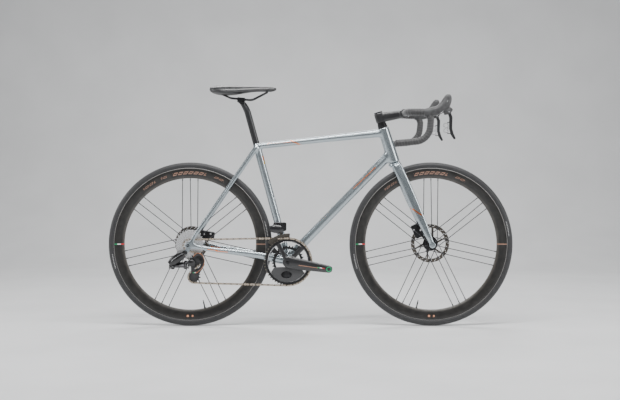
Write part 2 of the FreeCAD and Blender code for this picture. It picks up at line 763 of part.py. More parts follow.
def chain_stays():
    """Two tubes from the crank shell to the axle plates."""
    end = REAR + vec(40.0, stay_end_y(), -7.5)
    stations = [(end, 9.0, 4.2), (REAR + vec(95.0, 69.0, -17.0), 9.5, 7.0),
                (REAR + vec(170.0, 54.0, -27.0), 11.0, 8.0),
                (REAR + vec(250.0, 40.0, -39.0), 12.5, 7.5),
                (REAR + vec(315.0, 29.0, -50.0), 14.0, 7.0),
                (REAR + vec(375.0, 25.0, -63.0), 15.0, 8.0)]
    left = hollow_tube(stations).cut(dropout()).cut(bb_solid()).cut(seat_tube_solid())
    return both_sides(left.fuse(dropout()))


def seat_stays():
    """Two tubes from the seat cluster to the axle plates."""
    top = seat(TOP_TUBE_REAR)
    foot = REAR + vec(20.0, stay_end_y(), 29.0)

    def along(share, y):
        return at_y(foot + (top - foot) * share, y)

    stations = [(along(0.0, foot.y), 7.5, 3.8), (along(0.12, 70.0), 8.0, 6.0), (along(0.35, 52.0), 8.5, 7.0),
                (along(0.62, 31.0), 8.8, 7.0), (along(0.85, 20.0), 9.3, 7.5), (along(1.0, 14.5), 9.5, 8.0)]
    left = hollow_tube(stations).cut(dropout()).cut(seat_tube_solid())
    rear = seat(TOP_TUBE_REAR)
    front = steer(TOP_TUBE_FRONT)
    middle = rear + (front - rear) * 0.5
    left = left.cut(tube([(rear, 13.0, 14.0), (middle, 14.0, 15.0), (front, 17.5, 17.0)]))
    return both_sides(left)


HANGER_BOLT = REAR + vec(-12.0, 0, -29.0)


def derailleur_hanger():
    y0 = -REAR_HALF_HUB - DROPOUT_THICKNESS
    body = strap(REAR + vec(0, 0, -16.5), 9.0, HANGER_BOLT, 8.0, y0 - 4.0, y0)
    body = body.fuse(disc(REAR, 11.0, y0 - 4.0, y0))
    body = body.cut(disc(REAR, THRU_AXLE_R + RUNNING, y0 - 5, y0 + 1))
    return body.cut(disc(HANGER_BOLT, 4.0, y0 - 5, y0 + 1))


def frame_bearings():
    """Headset bearings and the two bottom bracket cups."""
    solids = []
    for low in (HEAD_BOTTOM, HEAD_TOP - 7.0):
        outer = rod(steer(low), steer(low + 7.0), HEAD_BORE_R)
        solids.append(outer.cut(rod(steer(low - 1), steer(low + 8.0), STEERER_R + RUNNING)))
    cup = disc(BB, BB_SHELL_R - 4.0, -BB_SHELL_HALF, -BB_SHELL_HALF + 14.0)
    cup = cup.fuse(disc(BB, 21.0, -BB_SHELL_HALF - 2.5, -BB_SHELL_HALF))
    cup = cup.cut(disc(BB, SPINDLE_R + RUNNING, -BB_SHELL_HALF - 5, 0))
    return solids + both_sides(cup)


# --- fork, stem and handlebar -----------------------------------------------
LEG_END_Y = FRONT_HALF_HUB + 6.0


def fork():
    """Steerer, crown and two straight legs in one piece."""
    tip = FRONT
    crown = steer(352.0, 6.0)
    stations = [(at_y(crown, 27.0), 20.5, 12.0), (at_y(crown + (tip - crown) * 0.12, 31.0), 20.8, 11.5),
                (at_y(crown + (tip - crown) * 0.38, 38.0), 20.6, 10.0),
                (at_y(crown + (tip - crown) * 0.66, 48.0), 17.5, 8.5),
                (at_y(crown + (tip - crown) * 0.88, 55.0), 12.5, 6.5),
                (at_y(crown + (tip - crown) * 0.98, LEG_END_Y), 10.5, 6.0)]
    left = tube(stations, 0.0, 2.3).cut(tube(stations[:5], TUBE_WALL, 2.3))
    end = disc(FRONT, 13.0, FRONT_HALF_HUB, FRONT_HALF_HUB + 12.0)
    above = crown + (tip - crown) * 0.86
    end = end.fuse(strap(FRONT, 12.4, above, 10.4, FRONT_HALF_HUB + 2.0, FRONT_HALF_HUB + 9.0))
    left = left.fuse(end)
    top = tube([(steer(HEAD_BOTTOM + 3.0), HEAD_BOTTOM_R - 0.4, HEAD_BOTTOM_R - 0.4),
                (steer(360.0, 1.0), 25.0, 31.0), (steer(349.0, 4.0), 22.4, 38.4)], 0.0, 2.2)
    top = top.cut(rod(steer(HEAD_BOTTOM - 1.0), steer(HEAD_BOTTOM + 40.0), 60.0))
    body = top.fuse(left).fuse(mirrored(left))
    body = body.fuse(rod(steer(355.0), steer(HEAD_TOP + SPACER_HEIGHT + STEM_STACK - 3.0), STEERER_R))
    arch = disc(FRONT, TYRE_R + 4.5, -TYRE_ROUND_R - 5.5, TYRE_ROUND_R + 5.5)
    return body.cut(arch).cut(disc(FRONT, THRU_AXLE_R + RUNNING, -70, 70))


STEM_LOW = HEAD_TOP + 0.5 + SPACER_HEIGHT
STEM_HIGH = STEM_LOW + STEM_STACK
BAR_CLAMP = steer(HEAD_TOP + 48.0) + vec(STEM_LENGTH, 0, 13.5)


def headset_spacers():
    """Three spacers under the stem and the cap on top of it."""
    solids = []
    step = SPACER_HEIGHT / 3
    for index in range(3):
        low = HEAD_TOP + 0.5 + index * step
        outer = rod(steer(low), steer(low + step), 20.0 - index * 1.2)
        solids.append(outer.cut(rod(steer(low - 1), steer(low + step + 1), STEERER_R)))
    solids.append(rod(steer(STEM_HIGH), steer(STEM_HIGH + 4.0), 17.5))
    return solids


def stem():
    body = rod(steer(STEM_LOW), steer(STEM_HIGH), 18.5)
    middle = steer((STEM_LOW + STEM_HIGH) / 2)
    along = BAR_CLAMP - middle
    halfway = middle + along * 0.5
    reach = tube([(middle, 16.5, 17.0), (halfway, 13.5, 17.0), (BAR_CLAMP, 14.0, 21.0)], 0.0, 2.6)
    body = body.fuse(reach).fuse(disc(BAR_CLAMP, 19.0, -22.0, 22.0))
    body = body.cut(rod(steer(STEM_LOW - 1), steer(STEM_HIGH + 1), STEERER_R))
    return body.cut(disc(BAR_CLAMP, 15.9, -60.0, 60.0))


BAR_FORWARD_CORNER = vec(92.0, 0, -2.0)
BAR_DROP_CORNER = vec(81.0, 3.0, -114.0)
BAR_END = vec(-48.0, 5.0, -125.0)
BAR_BENDS = (40.0, 34.0, 62.0)
TAPE_START_Y = 60.0


def bar_points():
    """Corners of the left half of the bar's centre line: top, ramp, hook and drop."""
    shoulder = BAR_CLAMP + ACROSS * BAR_HALF_WIDTH
    return [BAR_CLAMP + ACROSS * 30.0, shoulder, shoulder + BAR_FORWARD_CORNER,
            shoulder + BAR_DROP_CORNER, shoulder + BAR_END]


def bar_run(radius):
    return swept(bar_points(), BAR_BENDS, radius)


def handlebar():
    left = bar_run(BAR_R)
    centre = disc(BAR_CLAMP, 15.9, -TAPE_START_Y + 8.0, TAPE_START_Y - 8.0)
    return centre.fuse(left).fuse(mirrored(left))


def tape_spaces():
    """The boxes that hold the wrapped stretches: the top and the drop."""
    x = BAR_CLAMP.x
    z = BAR_CLAMP.z
    top = Part.makeBox(100.0, 200.0, 60.0, vec(x - 45.0, TAPE_START_Y, z - 30.0))
    drop = Part.makeBox(200.0, 80.0, 200.0, vec(x - 60.0, BAR_HALF_WIDTH - 30.0, z - 238.0))
    return top, drop


def bar_tape():
    solids = []
    wrap = bar_run(BAR_R + TAPE_THICKNESS).cut(bar_run(BAR_R))
    for space in tape_spaces():
        solids += both_sides(wrap.common(space))
    return solids


def bar_end_plugs():
    end = bar_points()[-1]
    before = bar_points()[-2]
    out = (end - before).normalize()
    plug = rod(end, end + out * 2.5, BAR_R + TAPE_THICKNESS)
    return both_sides(plug)


LEVER_PIVOT = BAR_CLAMP + vec(160.0, 0, -1.0)


def lever_bodies():
    """Rubber hoods with tall horns; each carries two ears and the lever's pin."""
    x = BAR_CLAMP.x
    z = BAR_CLAMP.z
    w = BAR_HALF_WIDTH
    stations = [(vec(x + 66, w, z - 4), 15.5, 14.5), (vec(x + 95, w, z + 1), 17.0, 15.5),
                (vec(x + 122, w, z + 8), 17.5, 15.5), (vec(x + 143, w - 1, z + 25), 20.0, 14.5),
                (vec(x + 154, w - 3, z + 46), 18.0, 13.0), (vec(x + 158, w - 4, z + 68), 10.0, 9.0)]
    hood = tube(stations, 0.0, 2.3)
    outline = [(x + 128, z - 40), (x + 190, z - 40), (x + 190, z + 9.0), (x + 128, z + 9.0)]
    below = plate(outline, w - 9.0, w + 9.0)
    hood = hood.cut(below).cut(bar_run(BAR_R + TAPE_THICKNESS))
    for side in (-1, 1):
        y0 = w + side * 10.5 - 1.5
        hood = hood.fuse(strap(LEVER_PIVOT, 5.5, vec(x + 150, 0, z + 20), 8.0, y0, y0 + 3.0))
    pin = disc(LEVER_PIVOT, 2.5, w - 12.0, w + 12.0)
    return both_sides(hood.fuse(pin))


BUTTON_X = LEVER_PIVOT.x - 4.0
BUTTON_SPANS = ((-63.0, -44.0), (-83.0, -65.0))


def lever():
    """The left brake blade, bored for its pin, with the pin of the shift buttons."""
    half = LEVER_THICKNESS / 2
    w = BAR_HALF_WIDTH
    points = [LEVER_PIVOT, LEVER_PIVOT + vec(8.0, 0, -22.0), LEVER_PIVOT + vec(7.0, 0, -66.0),
              LEVER_PIVOT + vec(13.0, 0, -88.0), LEVER_PIVOT + vec(22.0, 0, -104.0)]
    widths = [6.0, 6.5, 6.0, 6.0, 4.5]
    blade = disc(LEVER_PIVOT, 6.0, w - 8.5, w + 8.5)
    for i in range(4):
        blade = blade.fuse(strap(points[i], widths[i], points[i + 1], widths[i + 1], w - half, w + half))
    x = BUTTON_X
    low = LEVER_PIVOT.z + BUTTON_SPANS[1][0]
    high = LEVER_PIVOT.z + BUTTON_SPANS[0][1]
    pocket = plate([(x - 40, low - 1.0), (x + 3.2, low - 1.0), (x + 3.2, high + 1.0), (x - 40, high + 1.0)],
                   w - 12, w + 12)
    blade = blade.cut(pocket)
    pin = rod(vec(x, w, low - 4.0), vec(x, w, high + 4.0), 1.2)
    stop = [(x - 2, high + 1.0), (x + 10, high + 1.0), (x + 10, high + 4), (x - 2, high + 4)]
    blade = blade.fuse(plate(stop,
                             w - half, w + half))
    stop = [(x - 2, low - 4.0), (x + 14, low - 4.0), (x + 14, low - 1.0), (x - 2, low - 1.0)]
    blade = blade.fuse(plate(stop,
                             w - half, w + half))
    return blade.fuse(pin).cut(disc(LEVER_PIVOT, 2.5 + RUNNING, w - 20, w + 20))


def shift_button(span):
    """An open D-shaped paddle on the left lever's upright pin."""
    low = LEVER_PIVOT.z + span[0]
    high = LEVER_PIVOT.z + span[1]
    middle = (low + high) / 2
    half = (high - low) / 2
    w = BAR_HALF_WIDTH
    x = BUTTON_X

    def outline(inset):
        r = half - inset
        centre = vec(x - 9.0, 0, middle)
        far = polar(centre, r, math.pi, w - 2.5)
        top = vec(x - 9.0, w - 2.5, middle + r)
        bottom = vec(x - 9.0, w - 2.5, middle - r)
        corner_low = vec(x + 1.8 - inset, w - 2.5, middle - r)
        corner_high = vec(x + 1.8 - inset, w - 2.5, middle + r)
        edges = [Part.Arc(top, far, bottom).toShape(), Part.makeLine(bottom, corner_low),
                 Part.makeLine(corner_low, corner_high), Part.makeLine(corner_high, top)]
        return Part.Face(Part.Wire(edges)).extrude(ACROSS * 5.0)

    loop = outline(0.0).cut(outline(3.2))
    barrel = rod(vec(x, w, low + 0.01), vec(x, w, high - 0.01), 2.4)
    return loop.fuse(barrel).cut(rod(vec(x, w, low - 1), vec(x, w, high + 1), 1.2 + RUNNING))


# --- rear derailleur --------------------------------------------------------
SLANT = 38.0
LINK_LENGTH = 52.0
LINK_AXIS = vec(0, math.sin(math.radians(SLANT)), math.cos(math.radians(SLANT)))
CAGE_HALF_GAP = 4.2
LINK_Y = CHAIN_Y - 19.0
LINK_FRONT = vec(CAGE_PIVOT.x - 26.0, LINK_Y, CAGE_PIVOT.z - 6.0)
SPINE_GAP = 11.5
LINK_REAR = LINK_FRONT - vec(LINK_LENGTH, 0, 0)


def pivot_rod(place, radius, half_length):
    return rod(place - LINK_AXIS * half_length, place + LINK_AXIS * half_length, radius)


def rd_upper_knuckle():
    """Body bolted to the hanger, reaching back and down to the rear link pivot."""
    y1 = -REAR_HALF_HUB - DROPOUT_THICKNESS - 4.0
    body = strap(HANGER_BOLT, 9.0, at_y(LINK_REAR + vec(0, 0, 16.0), 0), 8.0, y1 - 7.0, y1)
    body = body.fuse(disc(HANGER_BOLT, 3.95, y1 - 1.0, y1 + 10.0))
    for way in (-1, 1):
        start = LINK_REAR + LINK_AXIS * (way * 12.5)
        body = body.fuse(rod(start, start + LINK_AXIS * (way * 4.0), 9.0))
    back = LINK_REAR - vec(SPINE_GAP, 0, 0)
    body = body.fuse(rod(back - LINK_AXIS * 16.5, back + LINK_AXIS * 16.5, 4.5))
    body = body.fuse(disc(LINK_REAR + vec(-SPINE_GAP, 0, 14.0), 6.5, y1 - 7.0, y1 + 13.0))
    return body.fuse(pivot_rod(LINK_REAR, 2.5, 14.0))


def rd_link():
    """The parallelogram link between the two knuckles."""
    axis_x = vec(1, 0, 0)
    width = 11.5
    body = pivot_rod(LINK_REAR, 6.0, width).fuse(pivot_rod(LINK_FRONT, 6.0, width))
    bar = Part.makeBox(LINK_LENGTH, 8.0, 2 * width, vec(0, -4.0, -width))
    turn = FreeCAD.Rotation(axis_x, LINK_AXIS.cross(axis_x), LINK_AXIS, "XYZ")
    bar.Placement = FreeCAD.Placement(LINK_REAR, turn)
    body = body.fuse(bar)
    for place in (LINK_REAR, LINK_FRONT):
        body = body.cut(pivot_rod(place, 2.5 + RUNNING, 20.0))
    return body


def rd_lower_knuckle():
    """Body that carries the cage pivot, hung on the front of the link."""
    body = pivot_rod(LINK_FRONT, 2.5, 14.0)
    for way in (-1, 1):
        start = LINK_FRONT + LINK_AXIS * (way * 12.5)
        body = body.fuse(rod(start, start + LINK_AXIS * (way * 4.0), 8.0))
    front = LINK_FRONT + vec(SPINE_GAP, 0, 0)
    body = body.fuse(rod(front - LINK_AXIS * 16.5, front + LINK_AXIS * 16.5, 4.0))
    drum_y = CHAIN_Y - CAGE_HALF_GAP - 2.3
    body = body.fuse(disc(CAGE_PIVOT, 12.5, drum_y - 14.0, drum_y))
    body = body.cut(Part.makeBox(120.0, 40.0, 120.0, vec(CAGE_PIVOT.x - 60.0, drum_y, CAGE_PIVOT.z - 60.0)))
    return body.fuse(disc(CAGE_PIVOT, 3.0, drum_y - 2.0, drum_y + 2.0))


def rd_cage(path):
    """Two plates with the jockey wheel bolts; the outer one turns on the cage pivot."""
    outer_y = CHAIN_Y - CAGE_HALF_GAP
    inner_y = CHAIN_Y + CAGE_HALF_GAP
    pivot = CAGE_PIVOT
    outer = strap(pivot, 9.0, path.upper, 8.0, outer_y - 2.0, outer_y)
    outer = outer.fuse(strap(pivot, 8.0, path.lower, 10.0, outer_y - 2.0, outer_y))
    knee = pivot + vec(46.0, 0, -6.0)
    outer = outer.fuse(strap(path.upper, 7.0, knee, 4.0, outer_y - 2.0, outer_y))
    outer = outer.fuse(strap(knee, 4.0, path.lower + vec(10.0, 0, 0), 4.0, outer_y - 2.0, outer_y))
    outer = outer.cut(disc(pivot, 3.0 + RUNNING, outer_y - 3.0, outer_y + 1.0))
    inner = strap(path.upper, 8.0, path.lower, 10.0, inner_y, inner_y + 1.6)
    cage = outer.fuse(inner)
    for centre in (path.upper, path.lower):
        cage = cage.fuse(disc(centre, 2.5, outer_y - 2.5, inner_y + 2.0))
    return cage


def jockey_wheel(centre, gap_angle):
    wheel = sprocket(centre, JOCKEY_TEETH, CHAIN_Y, 1.8, 2.5 + RUNNING, gap_angle)
    return wheel.fuse(ring(centre, 7.0, 2.5 + RUNNING, CHAIN_Y - 3.6, CHAIN_Y + 3.6))


# --- front derailleur -------------------------------------------------------
FD_OUTER_Y = BIG_RING_Y - 5.5
FD_INNER_Y = BIG_RING_Y + 5.0
FD_GUIDE_DROP = 24.5
FD_PLATE_HEIGHT = 12.0


def arc_plate(low_r, high_r, from_deg, to_deg, y0, y1):
    """Part of a flat ring about the crank axis."""
    angles = [math.radians(turn) for turn in (from_deg, (from_deg + to_deg) / 2, to_deg)]
    outer = [polar(BB, high_r, angle, y0) for angle in angles]
    inner = [polar(BB, low_r, angle, y0) for angle in reversed(angles)]
    edges = [Part.Arc(*outer).toShape(), Part.makeLine(outer[2], inner[0])]
    edges += [Part.Arc(*inner).toShape(), Part.makeLine(inner[2], outer[0])]
    return Part.Face(Part.Wire(edges)).extrude(ACROSS * (y1 - y0))


def fd_body():
    """Motor housing on a mount brazed to the seat tube, with two guide rods."""
    middle = seat(148.0, 6.0)
    body = slanted_box(middle, vec(1, 0, 0), 27.0, 18.0, -52.0, -18.0)
    edges = [edge for edge in body.Edges if abs(edge.tangentAt(edge.FirstParameter).y) > 0.9]
    body = body.makeFillet(7.0, edges)
    for x in (-9.0, 9.0):
        guide = vec(middle.x + x, 0, middle.z - FD_GUIDE_DROP)
        body = body.fuse(disc(guide, 2.2, -52.0, -18.0))
        for y in (-52.0, -21.0):
            body = body.fuse(slanted_box(guide + vec(0, 0, 3.5), vec(1, 0, 0), 4.0, 6.0, y, y + 3.0))
    return body.cut(seat_tube_solid())


def fd_cage():
    """Chain guide: two curved plates, bridged at the back and hung on a carriage."""
    middle = seat(148.0, 6.0)
    low_r = pitch_radius(BIG_RING_TEETH) + 7.5
    outer = arc_plate(low_r, low_r + FD_PLATE_HEIGHT, 86.0, 136.0, FD_OUTER_Y - 1.2, FD_OUTER_Y)
    inner = arc_plate(low_r - 12.0, low_r + FD_PLATE_HEIGHT, 86.0, 136.0, FD_INNER_Y, FD_INNER_Y + 1.2)
    rim = low_r + FD_PLATE_HEIGHT
    bridge = arc_plate(rim - 2.5, rim, 86.0, 100.0, FD_OUTER_Y - 1.2, FD_INNER_Y + 1.2)
    tail = arc_plate(rim - 2.5, rim, 130.0, 136.0, FD_OUTER_Y - 1.2, FD_INNER_Y + 1.2)
    cage = outer.fuse(inner).fuse(bridge).fuse(tail)
    carriage_z = middle.z - FD_GUIDE_DROP
    block = slanted_box(vec(middle.x, 0, carriage_z), vec(1, 0, 0), 13.0, 4.0, -47.0, -37.0)
    top = BB.z + low_r + FD_PLATE_HEIGHT - 3.0
    near, far = middle.x + 4, middle.x + 12
    web = plate([(near, top), (far, top), (far, carriage_z), (near, carriage_z)],
                -43.0, -40.0)
    cage = cage.fuse(block).fuse(web)
    for x in (-9.0, 9.0):
        cage = cage.cut(disc(vec(middle.x + x, 0, carriage_z), 2.2 + RUNNING, -60.0, -10.0))
    return cage


# --- seatpost and saddle ----------------------------------------------------
POST_LOW = 375.0
POST_HIGH = 640.0
CLAMP = seat(POST_HIGH + 50.0, -14.0)
RAIL_DIR = vec(math.cos(math.radians(5.7)), 0, -math.sin(math.radians(5.7)))
RAIL_R = 3.5
RAIL_Y = 21.0
RAIL_HEIGHT = 8.0


def seatpost():
    """Straight post whose head bends back to carry the saddle clamp."""
    post = rod(seat(POST_LOW), seat(POST_HIGH), SEATPOST_R)
    neck = tube([(seat(POST_HIGH - 9.0), SEATPOST_R - 0.6, SEATPOST_R - 0.6),
                 (seat(POST_HIGH + 22.0, -4.0), 13.0, 12.5), (CLAMP, 10.5, 10.0)], 0.0, 2.0)
    head = disc(CLAMP, 12.0, -11.5, 11.5)
    post = post.fuse(neck).fuse(head)
    return post.cut(disc(CLAMP, 4.0 + RUNNING, -20.0, 20.0))


def saddle_clamp():
    """A bolt through the post head with an ear on each side that holds a rail."""
    body = disc(CLAMP, 4.0, -27.0, 27.0)
    middle = CLAMP + vec(-RAIL_DIR.z, 0, RAIL_DIR.x) * RAIL_HEIGHT
    for side in (-1, 1):
        y0 = side * RAIL_Y - 5.5
        ear = slanted_box(middle - vec(0, 0, 4.0), RAIL_DIR, 15.0, 10.0, y0, y0 + 11.0)
        body = body.fuse(ear)
        ends = [at_y(middle + RAIL_DIR * reach, side * RAIL_Y) for reach in (-30.0, 30.0)]
        body = body.cut(rod(ends[0], ends[1], RAIL_R + RUNNING))
    return body


def saddle_rails():
    """Two bent rods, straight where the clamp holds them."""
    middle = CLAMP + vec(-RAIL_DIR.z, 0, RAIL_DIR.x) * RAIL_HEIGHT
    up = vec(-RAIL_DIR.z, 0, RAIL_DIR.x)

    def at(along, rise, y):
        return at_y(middle + RAIL_DIR * along + up * rise, y)

    rods = []
    for side in (-1, 1):
        points = [at(-92, 16, side * 34), at(-44, 0, side * RAIL_Y), at(44, 0, side * RAIL_Y),
                  at(106, 40, side * 12)]
        rods.append(swept(points, (24.0, 40.0), RAIL_R))
    return rods


SADDLE_REAR_X = -417.0
SADDLE_LENGTH = 275.0
SADDLE_TOP = 996.0
SADDLE_HALF_WIDTH = 71.0


def saddle_body(grow):
    """The outer form: a broad tail, narrow nose and drooping wings."""
    stations = []
    for share, half_width, top, low in ((0.0, 34.0, -9.0, -22.0), (0.08, 58.0, -3.5, -36.0),
                                        (0.25, 71.0, 0.0, -42.0), (0.42, 52.0, -2.0, -38.0),
                                        (0.6, 30.0, -4.0, -30.0), (0.82, 20.0, -5.0, -27.0),
                                        (0.97, 16.0, -8.0, -24.0), (1.0, 9.0, -13.0, -19.0)):
        half_width = half_width * SADDLE_HALF_WIDTH / 71.0 - grow
        x = SADDLE_REAR_X + SADDLE_LENGTH * share
        z = SADDLE_TOP + (top + low) / 2
        stations.append((vec(x, 0, z), (top - low) / 2 - grow, half_width))
    return tube(stations, 0.0, 2.4)


def saddle_split():
    """Everything below the seam between cover and shell."""
    x0 = SADDLE_REAR_X - 20
    x1 = SADDLE_REAR_X + SADDLE_LENGTH + 20
    seam = [(x0, SADDLE_TOP - 22), (x0 + 85, SADDLE_TOP - 31), (x0 + 190, SADDLE_TOP - 24),
            (x1, SADDLE_TOP - 19)]
    return plate(seam + [(x1, SADDLE_TOP - 90), (x0, SADDLE_TOP - 90)], -120.0, 120.0)


def saddle_cover():
    return saddle_body(0.0).cut(saddle_split())


def saddle_shell(rails):
    shell = saddle_body(0.0).common(saddle_split())
    for rail in rails:
        shell = shell.cut(rail)
    return shell


# --- build ------------------------------------------------------------------
def build_frame():
    save("head_tube", head_tube())
    save("top_tube", top_tube())
    save("down_tube", down_tube())
    save("seat_tube", seat_tube())
    save("bb_shell", bb_shell())
    save("chain_stays", *chain_stays())
    save("seat_stays", *seat_stays())
    save("derailleur_hanger", derailleur_hanger())
    save("frame_bearings", *frame_bearings())
    save("seat_wedge", seat_wedge())
    save("bottle_bosses", *bottle_bosses())


def build_wheels():
    for name, centre in (("front", FRONT), ("rear", REAR)):
        save(name + "_tyre", tyre(centre))
        save(name + "_rim", rim(centre))
    front_ends = (FRONT_FLANGE_DISC, 31.0, FRONT_FLANGE_PLAIN, 17.0)
    save("front_hub", hub(FRONT, -44.0, 31.0, front_ends, FRONT_ROTOR_Y))
    rear_ends = (REAR_FLANGE_DRIVE, 34.0, REAR_FLANGE_DISC, 17.0)
    save("rear_hub", hub(REAR, -21.0, 49.0, rear_ends, REAR_ROTOR_Y))
    save("front_spokes", *spokes(FRONT, FRONT_SPOKE_OFFSET, FRONT_FLANGE_DISC, FRONT_FLANGE_PLAIN, 16.5, 17.6))
    save("rear_spokes", *spokes(REAR, REAR_SPOKE_OFFSET, REAR_FLANGE_DRIVE, REAR_FLANGE_DISC, 16.5, 17.6))
    save("front_rotor", *rotor(FRONT, FRONT_ROTOR_R, FRONT_ROTOR_Y))
    save("rear_rotor", *rotor(REAR, REAR_ROTOR_R, REAR_ROTOR_Y))
    save("front_axle", hub_axle(FRONT, FRONT_HALF_HUB), thru_axle(FRONT, FRONT_HALF_HUB + 12.0, 62.0))
    tail = REAR_HALF_HUB + DROPOUT_THICKNESS + 4.0
    save("rear_axle", hub_axle(REAR, REAR_HALF_HUB), thru_axle(REAR, REAR_HALF_HUB + DROPOUT_THICKNESS, tail))


def build_brakes():
    front = (FRONT_CALIPER, FRONT_CALIPER_DIR, FRONT_ROTOR_Y, FRONT, FRONT_ROTOR_R)
    rear = (REAR_CALIPER, REAR_CALIPER_DIR, REAR_ROTOR_Y, REAR, REAR_ROTOR_R)
    save("front_caliper", caliper(*front, [fork()]))
    save("rear_caliper", caliper(*rear, chain_stays() + seat_stays()))
    for name, sizes in (("front", front), ("rear", rear)):
        save(name + "_pad_inner", brake_pad(*sizes, -1))
        save(name + "_pad_outer", brake_pad(*sizes, 1))


def build_drivetrain():
    path, links, cage_angle = settled_chain()
    save("chain", *chain(path, links))
    save("cassette", *cassette(path))
    save("chainrings", *chainrings(path))
    save("crank_right", *crank_right())
    save("crank_left", crank_left())
    save("rd_upper_knuckle", rd_upper_knuckle())
    save("rd_link", rd_link())
    save("rd_lower_knuckle", rd_lower_knuckle())
    save("rd_cage", rd_cage(path))
    save("jockey_upper", jockey_wheel(path.upper, path.gap_angle(2)))
    save("jockey_lower", jockey_wheel(path.lower, path.gap_angle(1)))
    save("fd_body", fd_body())
    save("fd_cage", fd_cage())


def build_cockpit():
    save("fork", fork())
    save("headset_spacers", *headset_spacers())
    save("stem", stem())
    save("handlebar", handlebar())
    save("bar_tape", *bar_tape())
    save("bar_end_plugs", *bar_end_plugs())
    save("lever_bodies", *lever_bodies())
    save("lever_left", lever())
    save("lever_right", mirrored(lever()))
    for name, span in zip(("upper", "lower"), BUTTON_SPANS):
        save("button_" + name + "_left", shift_button(span))
        save("button_" + name + "_right", mirrored(shift_button(span)))


def build_saddle():
    rails = saddle_rails()
    save("seatpost", seatpost())
    save("saddle_clamp", saddle_clamp())
    save("saddle_rails", *rails)
    save("saddle_shell", saddle_shell(rails))
    save("saddle_cover", saddle_cover())


def main():
    os.makedirs("parts", exist_ok=True)
    build_frame()
    build_wheels()
    build_brakes()
    build_drivetrain()
    build_cockpit()
    build_saddle()


main()
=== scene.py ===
import bpy
import bmesh
import math
import numpy as np
from mathutils.bvhtree import BVHTree
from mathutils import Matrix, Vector


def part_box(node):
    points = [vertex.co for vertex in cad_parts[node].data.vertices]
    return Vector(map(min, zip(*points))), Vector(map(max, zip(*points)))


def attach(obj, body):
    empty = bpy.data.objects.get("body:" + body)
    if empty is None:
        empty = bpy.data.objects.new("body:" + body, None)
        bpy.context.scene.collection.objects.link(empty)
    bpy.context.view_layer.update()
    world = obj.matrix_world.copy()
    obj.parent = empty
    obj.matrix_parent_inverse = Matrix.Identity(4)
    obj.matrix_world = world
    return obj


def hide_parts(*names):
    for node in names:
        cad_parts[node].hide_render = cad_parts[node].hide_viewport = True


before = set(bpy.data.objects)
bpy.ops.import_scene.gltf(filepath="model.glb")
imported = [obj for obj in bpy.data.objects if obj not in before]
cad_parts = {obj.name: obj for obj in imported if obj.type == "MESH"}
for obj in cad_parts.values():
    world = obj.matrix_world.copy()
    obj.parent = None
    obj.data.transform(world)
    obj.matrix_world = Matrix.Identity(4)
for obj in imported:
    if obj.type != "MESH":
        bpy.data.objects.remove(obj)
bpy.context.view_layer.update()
scene = bpy.context.scene

# The bicycle, in millimetres in the CAD frame; V() turns a point into metres.
FRONT = (499.0, 338.5)
REAR = (-499.0, 338.5)
BB = (-93.0, 268.5)
HEAD_DIR = (-0.300706, 0.953717)
HEAD_FOOT = (456.08, 324.97)
SEAT_DIR = (-0.263031, 0.964787)
BAR_CLAMP = (386.88, 878.3)
BAR_HALF_WIDTH = 201.5
LEVER_PIVOT = (546.88, 877.3)
COPPER = (0.58, 0.26, 0.15)
DULL_COPPER = (0.30, 0.165, 0.115)
ORANGE = (0.85, 0.22, 0.04)
GREEN = (0.0, 0.30, 0.10)
WHITE = (0.8, 0.8, 0.8)
RED = (0.65, 0.01, 0.02)


def V(x, y, z):
    return Vector((x, y, z)) * 0.001


def steer(s, f=0.0, y=0.0):
    x = HEAD_FOOT[0] + HEAD_DIR[0] * s + HEAD_DIR[1] * f
    return Vector((x, y, HEAD_FOOT[1] + HEAD_DIR[1] * s - HEAD_DIR[0] * f))


def seat(s, f=0.0, y=0.0):
    return Vector((BB[0] + SEAT_DIR[0] * s + SEAT_DIR[1] * f, y, BB[1] + SEAT_DIR[1] * s - SEAT_DIR[0] * f))


# --- camera, floor and light ------------------------------------------------
cam = bpy.data.cameras.new("camera")
cam.sensor_width = 36
cam.lens = 61.6
cam.shift_x = -0.0016
cam.shift_y = -0.068
cam_ob = bpy.data.objects.new("camera", cam)
cam_ob.location = (0.0015, -4.4, 0.6955)
cam_ob.rotation_euler = (math.pi / 2, 0, 0)
scene.collection.objects.link(cam_ob)
scene.camera = cam_ob


def area(name, place, aim, size, power, colour=(1, 1, 1), size_y=None):
    data = bpy.data.lights.new(name, "AREA")
    data.energy = power
    data.size = size
    data.color = colour
    if size_y:
        data.shape = "RECTANGLE"
        data.size_y = size_y
    ob = bpy.data.objects.new(name, data)
    ob.location = place
    ob.rotation_euler = (Vector(aim) - Vector(place)).to_track_quat("-Z", "Y").to_euler()
    scene.collection.objects.link(ob)


area("key", (0.2, -1.3, 3.2), (0, 0.05, 0.45), 3.4, 150, size_y=0.5)
area("front", (0.3, -3.4, 2.4), (0, 0, 0.5), 2.6, 24, size_y=0.5)
area("side", (2.9, -1.4, 1.3), (0.2, 0, 0.5), 0.9, 36, size_y=1.8)
area("rim", (-2.9, -0.8, 1.5), (-0.2, 0, 0.5), 0.8, 36, size_y=1.8)
area("back", (0.0, 2.0, 2.9), (0, 0.2, 0.4), 3.4, 75, size_y=0.8)
world = bpy.data.worlds.new("studio")
world.use_nodes = True
world.node_tree.nodes["Background"].inputs[0].default_value = (0.74, 0.75, 0.77, 1)
world.node_tree.nodes["Background"].inputs[1].default_value = 0.25
scene.world = world


